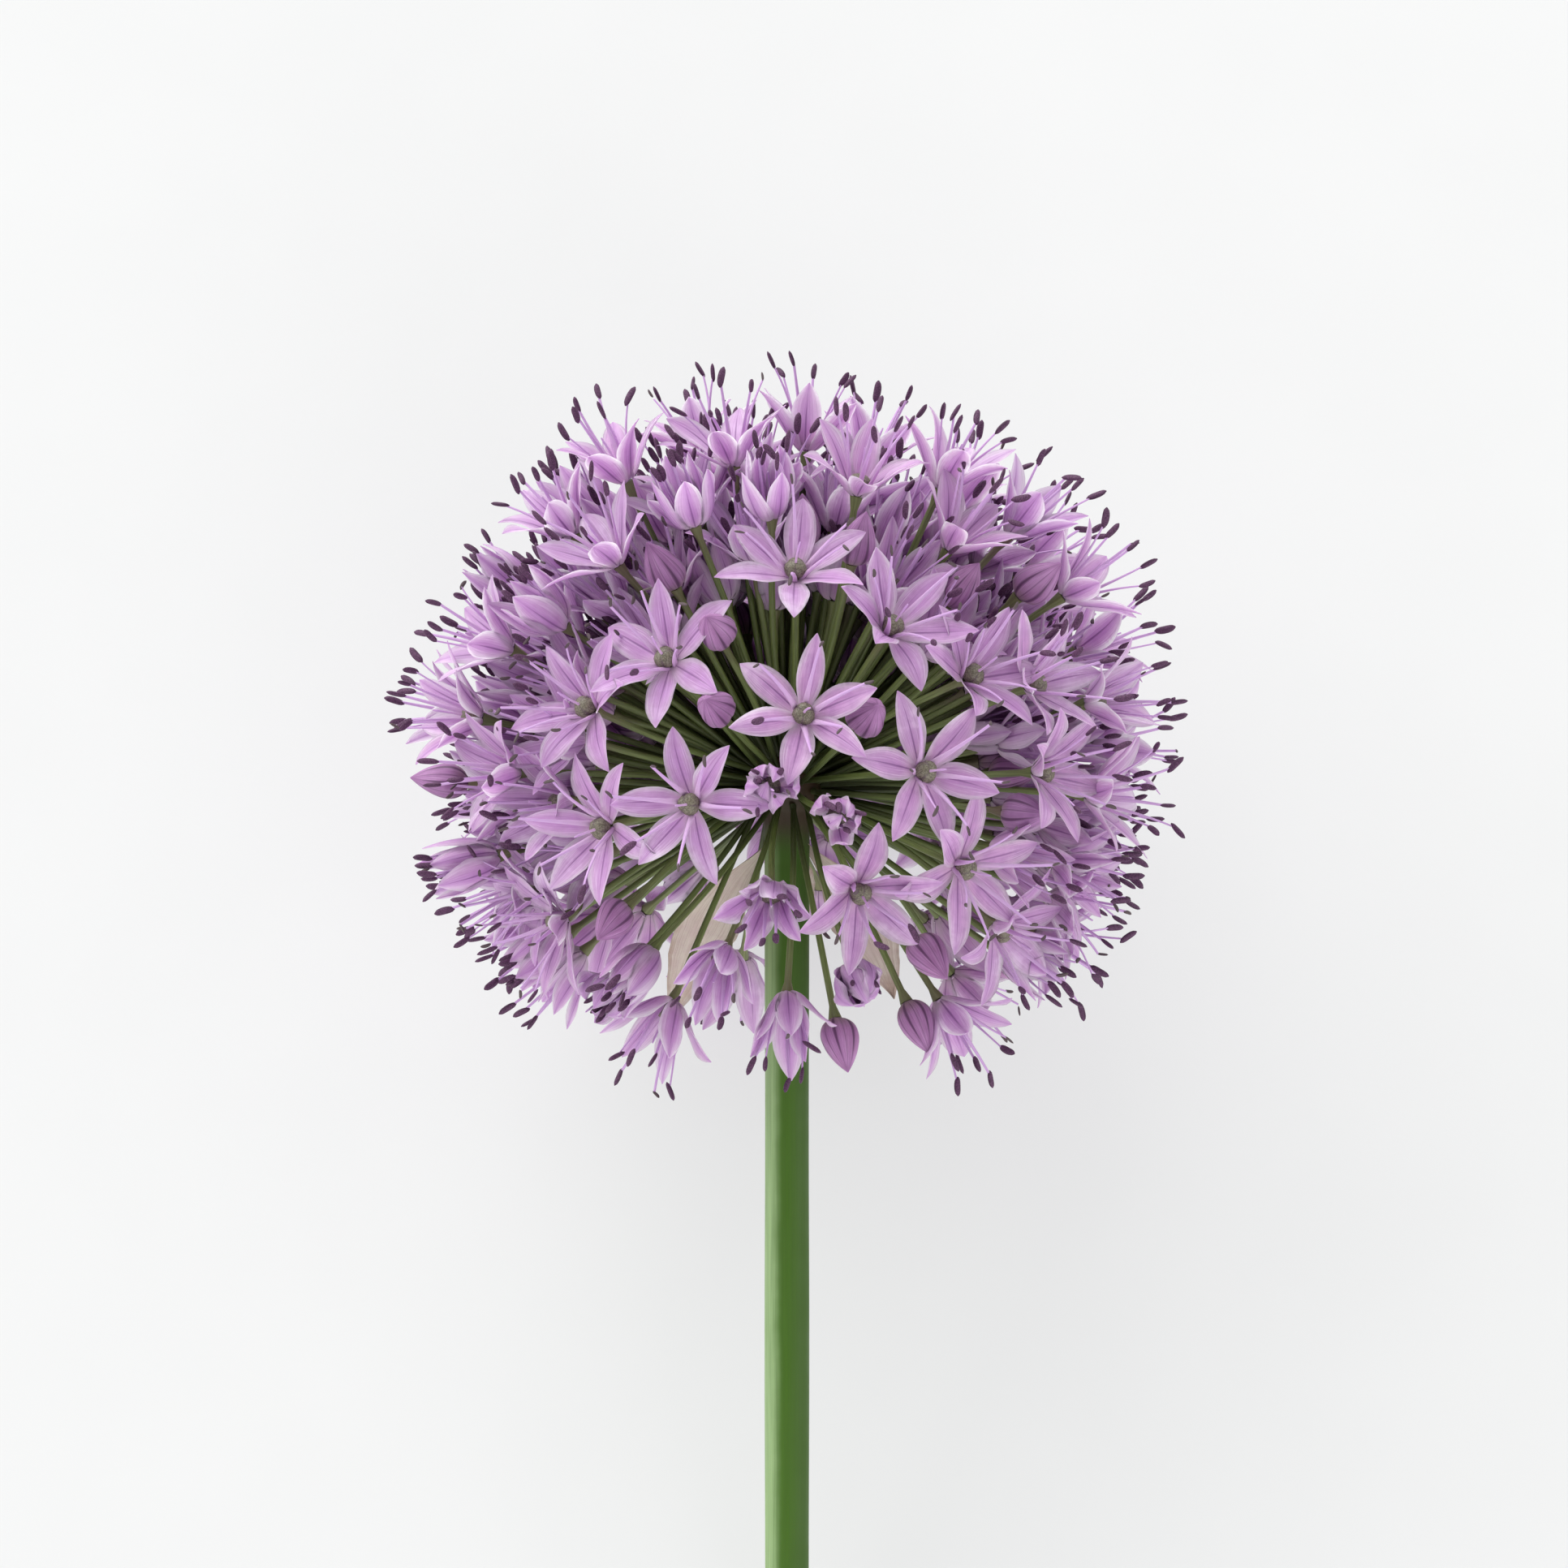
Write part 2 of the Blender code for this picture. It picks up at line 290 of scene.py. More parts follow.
# ---------------------------------------------------------------------------
# Mesh making
# ---------------------------------------------------------------------------


@dataclass
class MeshStore:
    """Collects closed lofts and turns them into one mesh."""

    points: list[Array] = field(default_factory=list)
    faces: list[tuple[int, ...]] = field(default_factory=list)
    strips: list[Array] = field(default_factory=list)
    marks: list[Array] = field(default_factory=list)
    finishes: list[int] = field(default_factory=list)
    count: int = 0
    sharpest: float = math.radians(75)

    def add_loft(
        self,
        rings: Array,
        mark: tuple[float, float] = (0.0, 0.0),
        finish: int = 0,
        across: Array | None = None,
        along: Array | None = None,
    ) -> None:
        """Adds a tube through the rings, closed at both ends.

        Args:
            rings: points, as rows of rings.
            mark: two numbers that the whole loft carries to its finish.
            finish: the place of its finish among the piece's own.
            across: the strip coordinate at each ring point, and once more for the closing one.
                It is even if this is left out.
            along: the strip coordinate of each ring, even if this is left out.
        """
        rows, sides = rings.shape[:2]
        across = np.linspace(0, 1, sides + 1) if across is None else across
        along = np.linspace(0, 1, rows) if along is None else along
        at = self.count + np.arange(rows * sides).reshape(rows, sides)
        for row in range(rows - 1):
            for side in range(sides):
                beside = (side + 1) % sides
                face = (at[row, side], at[row, beside], at[row + 1, beside], at[row + 1, side])
                self.faces.append(tuple(int(i) for i in face))
                u, v = (across[side], across[side + 1]), (along[row], along[row + 1])
                self.strips.append(np.array([(u[0], v[0]), (u[1], v[0]), (u[1], v[1]), (u[0], v[1])]))
        for row, order in ((0, range(sides - 1, -1, -1)), (rows - 1, range(sides))):
            self.faces.append(tuple(int(at[row, side]) for side in order))
            self.strips.append(np.array([(across[side], along[row]) for side in order]))
        made = (rows - 1) * sides + 2
        self.marks += [np.tile(mark, (len(face), 1)) for face in self.faces[-made:]]
        self.finishes += [finish] * made
        self.points.append(rings.reshape(-1, 3))
        self.count += rows * sides

    def build(self, name: str, floor: float = 0.05 * MM) -> bpy.types.Object:
        """Makes the object, with every point kept above the surface it lies on.

        Args:
            name: the piece's name.
            floor: the height under which soft tissue is pressed flat.

        Returns:
            The new object, linked to the scene.
        """
        points = np.concatenate(self.points)
        low = points[:, 2] < floor
        points[low, 2] = floor * np.exp((points[low, 2] - floor) / floor)
        mesh = bpy.data.meshes.new(name)
        mesh.from_pydata(points.tolist(), [], self.faces)
        for label, values in ((STRIP_MAP, self.strips), (MARK_MAP, self.marks)):
            layer = mesh.uv_layers.new(name=label)
            layer.data.foreach_set("uv", np.concatenate(values).astype(np.float32).reshape(-1))
        mesh.polygons.foreach_set("material_index", self.finishes)
        solid = bmesh.new()
        solid.from_mesh(mesh)
        bmesh.ops.recalc_face_normals(solid, faces=solid.faces)
        for edge in solid.edges:
            edge.smooth = edge.calc_face_angle(0) < self.sharpest
        solid.to_mesh(mesh)
        solid.free()
        mesh.polygons.foreach_set("use_smooth", [True] * len(mesh.polygons))
        piece = bpy.data.objects.new(name, mesh)
        bpy.context.scene.collection.objects.link(piece)
        return piece


@dataclass(frozen=True)
class LocalFrame:
    """A flower's own axes: z runs out of it, x and y span its face."""

    origin: Array
    x: Array
    y: Array
    z: Array

    @classmethod
    def along(cls, origin: Array, z: Array, roll: float) -> "LocalFrame":
        """Makes axes that look one way.

        Args:
            origin: where they are.
            z: the way that they look.
            roll: how far they are turned about it.

        Returns:
            The axes.
        """
        guide = np.array([0.0, 0.0, 1.0]) if abs(z[2]) < 0.9 else np.array([0.0, 1.0, 0.0])
        x = unit(np.cross(guide, z))
        y = np.cross(z, x)
        rolled = x * math.cos(roll) + y * math.sin(roll)
        return cls(origin, rolled, np.cross(z, rolled), z)

    def place(self, points: Array, azimuth: float = 0.0) -> Array:
        """Takes local points to the world.

        Args:
            points: the points in these axes.
            azimuth: how far to turn them about z first.

        Returns:
            The points in the world.
        """
        x, y = turned(points[..., 0], points[..., 1], azimuth)
        return (
            self.origin
            + x[..., None] * self.x
            + y[..., None] * self.y
            + points[..., 2, None] * self.z
        )


def tube(path: Array, radii: Array, sides: int, flatten: float = 1.0) -> Array:
    """Rings round a path.

    Args:
        path: the points along the middle.
        radii: the radius at each point.
        sides: how many points a ring has.
        flatten: the depth of a ring as a share of its width.

    Returns:
        The rings.
    """
    tangents = np.gradient(path, axis=0)
    tangents /= np.linalg.norm(tangents, axis=1)[:, None]
    guide = np.array([0.0, 1.0, 0.0]) if abs(tangents[0][1]) < 0.8 else np.array([1.0, 0.0, 0.0])
    first = np.cross(tangents, guide)
    first /= np.linalg.norm(first, axis=1)[:, None]
    second = np.cross(tangents, first)
    angles = around(sides)
    offsets = (
        first[:, None, :] * np.cos(angles)[None, :, None] * flatten
        + second[:, None, :] * np.sin(angles)[None, :, None]
    )
    return path[:, None, :] + offsets * radii[:, None, None]


def bent_path(length: float, angles: Array) -> Array:
    """A path in the x-z plane that follows the given angles.

    Args:
        length: the path's length.
        angles: its angle from z at each of its points.

    Returns:
        The points.
    """
    middle = (angles[:-1] + angles[1:]) / 2
    step = length / len(middle)
    x = np.concatenate([[0], np.cumsum(np.sin(middle) * step)])
    z = np.concatenate([[0], np.cumsum(np.cos(middle) * step)])
    return stacked(x, np.zeros(1), z)


@dataclass(frozen=True)
class BladeSection:
    """The ring round a thin blade: over its face from side to side, then back under it."""

    columns: int

    def places(self) -> Array:
        """Returns how far across each ring point is, from -1 to 1."""
        face = np.linspace(-1, 1, self.columns)
        return np.concatenate([face, face[-2:0:-1]])

    def skin(self) -> Array:
        """Returns 1 for the ring points of the face, -1 for those of the back and 0 at the edges."""
        sides = np.concatenate([np.ones(self.columns), -np.ones(self.columns - 2)])
        return sides * (np.abs(self.places()) < 1)

    def strip(self) -> Array:
        """Returns the strip coordinate of each ring point, and of the closing one."""
        face = np.linspace(0, 1, self.columns)
        return np.concatenate([face, face[-2::-1]])


# ---------------------------------------------------------------------------
# Parts of a floret
# ---------------------------------------------------------------------------


@dataclass(frozen=True)
class FlowerPose:
    """How a flower's tepals and stamens stand; angles are from the flower's own axis."""

    tepal_start: float
    tepal_middle: float
    tepal_end: float
    stamen_start: float
    stamen_end: float
    fold: float = 0.24
    crumple: float = 0.09
    size: float = 1.0
    stamen_size: float = 1.0
    spent_share: float = 0.12
    heel: float = 0.13
    youth: float = 0.0

    @classmethod
    def opened(cls, angle: float, age: float) -> "FlowerPose":
        """Describes an open flower: bells while young, then stars with curling tips.

        Args:
            angle: how far its tepals stand from its axis.
            age: from freshly open, 0, to fully out, 1.

        Returns:
            The pose.
        """
        return cls(
            tepal_start=max(angle, 1.25 - 0.2 * age),
            tepal_middle=angle - 0.3 + 0.2 * age,
            tepal_end=angle - 0.2 + 0.56 * age,
            stamen_start=angle * 0.36,
            stamen_end=angle * (0.2 + 0.36 * age),
            spent_share=0.1 + 0.75 * float(smooth_step((angle - 0.8) / 0.4)),
            youth=1 - float(smooth_step((angle - 0.5) / 0.6)),
        )

    def tepal_angles(self, lean: float, curl: float, rows: int) -> Array:
        """Returns a tepal's angle along it: out at its heel, then up, then curling at its tip.

        Args:
            lean: how much further out this tepal leans.
            curl: how much further its tip curls out.
            rows: how many angles.

        Returns:
            The angles.
        """
        s = np.linspace(0, 1, rows)
        heel = (self.tepal_start - self.tepal_middle) * np.exp(-s / self.heel)
        tip = (self.tepal_end + curl - self.tepal_middle) * s**2.2
        return self.tepal_middle + lean + heel + tip


GOBLET_POSE = FlowerPose(
    tepal_start=1.35,
    tepal_middle=0.12,
    tepal_end=0.0,
    stamen_start=0.2,
    stamen_end=0.03,
    fold=0.36,
    heel=0.2,
    stamen_size=0.84,
    youth=1.0,
)
OPENER_POSE = FlowerPose(
    tepal_start=1.3,
    tepal_middle=0.85,
    tepal_end=-1.3,
    stamen_start=0.34,
    stamen_end=0.12,
    fold=0.3,
    crumple=0.42,
    size=0.74,
    stamen_size=0.4,
    spent_share=0.4,
    youth=0.8,
)


@dataclass(frozen=True)
class Tepal:
    """One petal-like tepal: a thin, hollowed, pointed blade with closed edges."""

    length: float = 10.0 * MM
    width: float = 4.1 * MM
    thickness: float = 0.17 * MM
    widest: float = 0.46
    base_share: float = 0.31
    tip_share: float = 0.03
    rows: int = 14
    section: BladeSection = BladeSection(7)
    lengths: tuple[float, float] = (0.91, 1.04)
    widths: tuple[float, float] = (0.88, 1.07)
    curl: float = 0.22
    twist: float = 0.24
    sway: float = 0.06
    waves: tuple[float, float] = (1.2, 2.0)
    whorl_radius: float = 0.85 * MM
    outer_lift: float = 0.02 * MM
    inner_lift: float = 0.22 * MM
    inner_width: float = 0.92
    inner_rise: float = 0.08

    def half_widths(self, s: Array) -> Array:
        """Returns half the blade's width at each share of its length."""
        rise = np.sin(np.clip(s / self.widest, 0, 1) * math.pi / 2)
        rising = self.base_share + (1 - self.base_share) * rise
        beyond = np.clip((s - self.widest) / (1 - self.widest), 0, 1)
        falling = np.cos(beyond**1.2 * math.pi / 2) ** 0.86
        return np.maximum(np.where(s < self.widest, rising, falling), self.tip_share) * self.width / 2

    def rise(self, pose: FlowerPose, half: Array, rng: np.random.Generator) -> Array:
        """Works out how far each ring point stands off the blade's middle line.

        Args:
            pose: how the flower's tepals stand.
            half: half the blade's width at each ring.
            rng: the floret's own random numbers.

        Returns:
            The heights: the blade's fold, its ripples and its thickness.
        """
        s = np.linspace(0, 1, self.rows)[:, None]
        t = self.section.places()
        phase, waves = rng.uniform(0, TURN), rng.uniform(*self.waves)
        fold = pose.fold * (0.45 * np.abs(t) + 0.55 * t**2)
        ripple = pose.crumple * np.sin(waves * TURN * s + phase + 2.2 * t) * t**2
        body = self.thickness / 2 * (1 - 0.8 * t**2) * (1.25 - 0.6 * s)
        return (fold + ripple) * half[:, None] + body * self.section.skin()

    def blade(
        self, pose: FlowerPose, droop: float, inner: bool, rng: np.random.Generator
    ) -> Array:
        """Shapes the blade in the flower's own axes, pointing along x.

        Args:
            pose: how the flower's tepals stand.
            droop: how much further out this one leans.
            inner: whether it is one of the inner three, which are narrower.
            rng: the floret's own random numbers.

        Returns:
            The rings of the closed blade.
        """
        length = self.length * pose.size * rng.uniform(*self.lengths)
        angles = pose.tepal_angles(droop, rng.normal(0, self.curl), self.rows)
        path = bent_path(length, angles)
        s = np.linspace(0, 1, self.rows)
        half = self.half_widths(s) * (0.3 + 0.7 * pose.size) * rng.uniform(*self.widths)
        normal = stacked(-np.cos(angles), np.zeros(1), np.sin(angles))
        twist = rng.normal(0, self.twist) * s[:, None] ** 1.5
        sway = rng.normal(0, self.sway) * length * s[:, None] ** 2
        side = self.section.places() * half[:, None]
        side, rise = turned(side, self.rise(pose, half, rng), twist)
        sideways = np.array([0.0, self.inner_width if inner else 1.0, 0.0])
        seat = np.array([self.whorl_radius, 0, self.inner_lift if inner else self.outer_lift])
        rings = path[:, None, :] + (side + sway)[..., None] * sideways
        return rings + rise[..., None] * normal[:, None, :] + seat


@dataclass(frozen=True)
class Stamen:
    """A filament, broad at its base, and the anther that it carries."""

    length: float = 10.2 * MM
    base_radius: float = 0.5 * MM
    tip_radius: float = 0.18 * MM
    anther_length: float = 2.8 * MM
    anther_radius: float = 0.43 * MM
    rows: int = 8
    sides: int = 6
    anther_rows: int = 9
    anther_sides: int = 10
    seat: tuple[float, float, float] = (0.95 * MM, 0.0, 0.35 * MM)
    lengths: tuple[float, float] = (0.88, 1.1)
    sway: float = 0.4 * MM
    flatness: float = 0.6
    shrunk: float = 0.56
    lobe: float = 0.2
    furrow: float = 0.16
    anther_depth: float = 0.86
    anther_bow: float = 0.12 * MM
    anther_sizes: tuple[float, float] = (0.78, 1.04)
    anther_hold: tuple[float, float] = (0.2 * MM, 0.9 * MM)
    fresh_lean: float = 0.24
    spent_lean: float = 0.7

    def filament(self, pose: FlowerPose, rng: np.random.Generator) -> Array:
        """Bends a filament's middle line in the flower's own axes.

        Args:
            pose: how the flower's stamens stand.
            rng: the floret's own random numbers.

        Returns:
            The points along it.
        """
        length = self.length * pose.stamen_size * rng.uniform(*self.lengths)
        start, end = pose.stamen_start + rng.normal(0, 0.07), pose.stamen_end + rng.normal(0, 0.18)
        path = bent_path(length, np.linspace(start, end, self.rows))
        path[:, 1] += rng.normal(0, self.sway) * np.linspace(0, 1, self.rows) ** 2
        return path + np.array(self.seat)

    def radii(self) -> Array:
        """Returns the filament's radius along it."""
        s = np.linspace(0, 1, self.rows)
        return self.tip_radius + (self.base_radius - self.tip_radius) * (1 - s) ** 1.8

    def anther(self, spent: bool) -> Array:
        """Shapes an anther along z: two long lobes with a furrow between them.

        Args:
            spent: whether it has shed its pollen and shrunk.

        Returns:
            The rings, about the point that the filament holds.
        """
        scale = self.shrunk if spent else 1.0
        s = np.linspace(-1, 1, self.anther_rows) * 0.985
        outline = np.sqrt(1 - np.abs(s) ** 2.6)
        angles = around(self.anther_sides)
        furrow = self.furrow * np.exp(-((np.cos(angles / 2) / 0.35) ** 2))
        lobes = 1 + self.lobe * np.cos(2 * angles) - furrow
        radius = self.anther_radius * scale * outline[:, None] * lobes
        bowed = radius * np.cos(angles) + self.anther_bow * (s**2)[:, None]
        height = s * self.anther_length * scale / 2
        return stacked(bowed, radius * np.sin(angles) * self.anther_depth, height[:, None])


@dataclass(frozen=True)
class Pistil:
    """The three-lobed ovary in the middle of the flower, with its style."""

    radius: float = 1.45 * MM
    height: float = 2.5 * MM
    lift: float = 0.35 * MM
    lobe_depth: float = 0.13
    dimple: float = 0.16
    style_length: float = 4.2 * MM
    style_radius: float = 0.16 * MM
    style_shares: tuple[float, ...] = (1.3, 1.0, 0.85, 0.8, 0.95, 0.6)
    style_sides: int = 6
    rows: int = 9
    sides: int = 18

    def ovary(self) -> Array:
        """Returns the ovary's rings: a ball with three lobes and a dimpled top."""
        polar = np.linspace(0.06, math.pi - 0.06, self.rows)[::-1]
        angles = around(self.sides)
        lobes = 1 - self.lobe_depth * np.abs(np.cos(1.5 * angles)) ** 6
        radius = self.radius * np.sin(polar)[:, None] * lobes
        top = 1 - self.dimple * np.exp(-((polar / 0.5) ** 2))
        height = self.lift + self.height / 2 * (1 + np.cos(polar) * top)
        return stacked(radius * np.cos(angles), radius * np.sin(angles), height[:, None])

    def style(self, rng: np.random.Generator) -> Array:
        """Returns the rings of the style, which ends in a tiny knob."""
        s = np.linspace(0, 1, len(self.style_shares))
        lean = rng.normal(0, 0.05, 2)
        z = self.height * 0.88 + self.style_length * s
        path = stacked(lean[0] * z * s, lean[1] * z * s, z)
        return tube(path, self.style_radius * np.array(self.style_shares), self.style_sides)


@dataclass(frozen=True)
class Bud:
    """A closed flower: six tepals wrapped into a pointed egg with seams between them."""

    outline: tuple[tuple[float, float], ...] = (
        (0.0, 0.3),
        (0.06, 0.68),
        (0.16, 0.96),
        (0.3, 1.1),
        (0.46, 1.05),
        (0.62, 0.86),
        (0.77, 0.6),
        (0.9, 0.3),
        (1.0, 0.03),
    )
    seam_depth: float = 0.08
    swell: float = 0.07
    rows: int = 18
    sides: int = 48
    turn: float = 0.3
    stretch: float = 1.14
    lean: float = 0.07
    widths: tuple[float, float] = (0.92, 1.06)
    heights: tuple[float, float] = (0.94, 1.06)

    def rings(self, radius: float, height: float, rng: np.random.Generator) -> Array:
        """Shapes the bud along z.

        Args:
            radius: its widest radius, which each bud varies a little.
            height: from neck to tip, varied too.
            rng: the floret's own random numbers.

        Returns:
            The rings.
        """
        radius, height = radius * rng.uniform(*self.widths), height * rng.uniform(*self.heights)
        s = np.linspace(0, 1, self.rows)
        places, shares = np.array(self.outline).T
        outline = np.interp(s, places, shares)
        outline[1:-1] = (outline[:-2] + 2 * outline[1:-1] + outline[2:]) / 4
        angles = around(self.sides)
        twisted = angles[None, :] + self.turn * s[:, None]
        seams = np.exp(-((np.sin(3 * twisted) / 0.3) ** 2))
        fuller = 1 + self.swell * np.cos(3 * angles)[None, :] - self.seam_depth * seams
        reach = radius * outline[:, None] * fuller
        lean = rng.normal(0, self.lean, 2) * height * s[:, None] ** 2
        x = reach * np.cos(angles) + lean[:, :1]
        y = reach * np.sin(angles) + lean[:, 1:]
        return stacked(x, y, (height * self.stretch * s)[:, None])

    def strip(self) -> Array:
        """Returns the strip coordinates across the ring: one unit for each of six tepals."""
        return np.linspace(0, 6, self.sides + 1)


@dataclass(frozen=True)
class Stalk:
    """The stalk of one floret, from inside the receptacle to the flower's neck."""

    foot_radius: float = 0.36 * MM
    radius: float = 0.45 * MM
    neck_radius: float = 0.88 * MM
    swelling: float = 1.4 * MM
    sink: float = 0.9 * MM
    bow: float = 0.9 * MM
    rows: int = 16
    sides: int = 9

    def rings(self, foot: Array, neck: Array, rng: np.random.Generator) -> Array:
        """Bows gently from foot to neck and swells just under the flower.

        Args:
            foot: where it leaves the receptacle.
            neck: where the flower starts.
            rng: the floret's own random numbers.

        Returns:
            The rings.
        """
        run = neck - foot
        length = float(np.linalg.norm(run))
        start = foot - run / length * self.sink
        s = np.linspace(0, 1, self.rows) ** 0.9
        side = unit(np.cross(run, rng.normal(0, 1, 3)))
        bow = side * rng.uniform(0.2, 1) * self.bow
        path = start + (neck - start) * s[:, None] + bow * (np.sin(math.pi * s) ** 1.2)[:, None]
        from_neck = (1 - s) * length
        flare = np.exp(-((from_neck / self.swelling * 1.7) ** 2))
        radii = self.foot_radius + (self.radius - self.foot_radius) * s
        radii = radii + (self.neck_radius - self.radius) * flare
        return tube(path, radii, self.sides)


# ---------------------------------------------------------------------------
# Finishes
# ---------------------------------------------------------------------------


class Paint:
    """A material under construction, with short calls for the nodes it needs."""

    scatter: Colour = (1.0, 0.92, 1.0)

    def __init__(self, name: str) -> None:
        """Starts a material with a bare Principled shader."""
        self.material = bpy.data.materials.new(name)
        self.material.use_nodes = True
        self.tree = self.material.node_tree
        self.shader = self.tree.nodes["Principled BSDF"]

    def node(self, kind: str, **settings: object) -> bpy.types.Node:
        """Adds a node and sets its properties."""
        made = self.tree.nodes.new("ShaderNode" + kind)
        for key, value in settings.items():
            setattr(made, key, value)
        return made

    def feed(self, socket: bpy.types.NodeSocket, value: object) -> None:
        """Links a socket to another, or sets it to a plain value.

        Args:
            socket: the socket to feed.
            value: another node's socket, a number or a colour.
        """
        if isinstance(value, bpy.types.NodeSocket):
            self.tree.links.new(value, socket)
        elif isinstance(value, tuple) and socket.type == "RGBA":
            socket.default_value = (*value[:3], 1)
        else:
            socket.default_value = value

    def math(self, operation: str, first: object, second: object = 0.0) -> bpy.types.NodeSocket:
        """Adds a Math node.

        Args:
            operation: the node's operation.
            first: its first value.
            second: its second value.

        Returns:
            The result.
        """
        made = self.node("Math", operation=operation)
        for socket, value in zip(made.inputs, (first, second)):
            self.feed(socket, value)
        return made.outputs[0]

    def times(self, first: object, second: object) -> bpy.types.NodeSocket:
        """Returns the product of two values."""
        return self.math("MULTIPLY", first, second)

    def span(
        self, value: object, low: float, high: float, to_low: float, to_high: float
    ) -> bpy.types.NodeSocket:
        """Takes a value smoothly from one range to another.

        Args:
            value: the value.
            low: where the first range starts.
            high: where it ends, which may be below low.
            to_low: where low is taken to.
            to_high: where high is taken to.

        Returns:
            The new value.
        """
        made = self.node("MapRange", interpolation_type="SMOOTHSTEP")
        for name, given in (("Value", value), ("From Min", low), ("From Max", high)):
            self.feed(made.inputs[name], given)
        made.inputs["To Min"].default_value = to_low
        made.inputs["To Max"].default_value = to_high
        return made.outputs["Result"]

    def noise(
        self, place: object, scale: float, detail: float = 2.0, rough: float = 0.5
    ) -> bpy.types.NodeSocket:
        """Adds a noise texture.

        Args:
            place: the coordinates that it is read at.
            scale: how fine it is.
            detail: how many finer layers it has.
            rough: how strong those are.

        Returns:
            The noise value.
        """
        made = self.node("TexNoise")
        self.feed(made.inputs["Vector"], place)
        made.inputs["Scale"].default_value = scale
        made.inputs["Detail"].default_value = detail
        made.inputs["Roughness"].default_value = rough
        return made.outputs[0]

    def mix(self, share: object, first: object, second: object) -> bpy.types.NodeSocket:
        """Blends two colours.

        Args:
            share: how much of the second there is.
            first: the colour at share 0.
            second: the colour at share 1.

        Returns:
            The colour between them.
        """
        made = self.node("Mix", data_type="RGBA")
        self.feed(made.inputs[0], share)
        self.feed(made.inputs[6], first)
        self.feed(made.inputs[7], second)
        return made.outputs[2]

    def tint(
        self,
        body: object,
        colour: Colour,
        value: object,
        low: float,
        high: float,
        most: float = 1.0,
    ) -> bpy.types.NodeSocket:
        """Lays a colour over the body.

        Args:
            body: the colour so far.
            colour: the colour to lay over it.
            value: what decides where it shows.
            low: the value at which none of it shows.
            high: the value at which the most of it shows.
            most: the share of it there.

        Returns:
            The new colour.
        """
        return self.mix(self.span(value, low, high, 0, most), body, colour)

    def from_middle(self, across: object) -> bpy.types.NodeSocket:
        """Returns 0 where across is a half, and 1 where it is 0 or 1."""
        return self.math("ABSOLUTE", self.math("SUBTRACT", self.times(across, 2), 1))

    def map_axes(self, name: str) -> tuple[bpy.types.NodeSocket, bpy.types.NodeSocket]:
        """Returns the two coordinates of one of the mesh's own maps."""
        made = self.node("UVMap", uv_map=name)
        split = self.node("SeparateXYZ")
        self.feed(split.inputs[0], made.outputs[0])
        return split.outputs[0], split.outputs[1]

    def point(self, x: object, y: object, z: object = 0.0) -> bpy.types.NodeSocket:
        """Returns a vector from three values."""
        made = self.node("CombineXYZ")
        for socket, value in zip(made.inputs, (x, y, z)):
            self.feed(socket, value)
        return made.outputs[0]

    def place(self) -> bpy.types.NodeSocket:
        """Returns the object coordinates."""
        return self.node("TexCoord").outputs["Object"]

    def bump(self, height: object, strength: float, distance: float) -> None:
        """Drives the surface normal from a height.

        Args:
            height: the height.
            strength: how much of the effect shows.
            distance: how high a height of 1 stands.
        """
        made = self.node("Bump")
        self.feed(made.inputs["Height"], height)
        made.inputs["Strength"].default_value = strength
        made.inputs["Distance"].default_value = distance
        self.feed(self.shader.inputs["Normal"], made.outputs[0])

    def surface(
        self,
        colour: object,
        roughness: object,
        soft: float = 0.0,
        depth: float = 1 * MM,
        sheen: float = 0.0,
        specular: float = 0.5,
    ) -> bpy.types.Material:
        """Sets the shader's colour, roughness and plain numbers.

        Args:
            colour: the base colour.
            roughness: the roughness.
            soft: how much of the light goes under the skin.
            depth: how far it goes there.
            sheen: how velvety the surface is.
            specular: how strongly it reflects.

        Returns:
            The finished material.
        """
        self.feed(self.shader.inputs["Base Color"], colour)
        self.feed(self.shader.inputs["Roughness"], roughness)
        self.shader.inputs["Subsurface Weight"].default_value = soft
        self.shader.inputs["Subsurface Scale"].default_value = depth
        self.shader.inputs["Subsurface Radius"].default_value = self.scatter
        self.shader.inputs["Sheen Weight"].default_value = sheen
        self.shader.inputs["Specular IOR Level"].default_value = specular
        return self.material


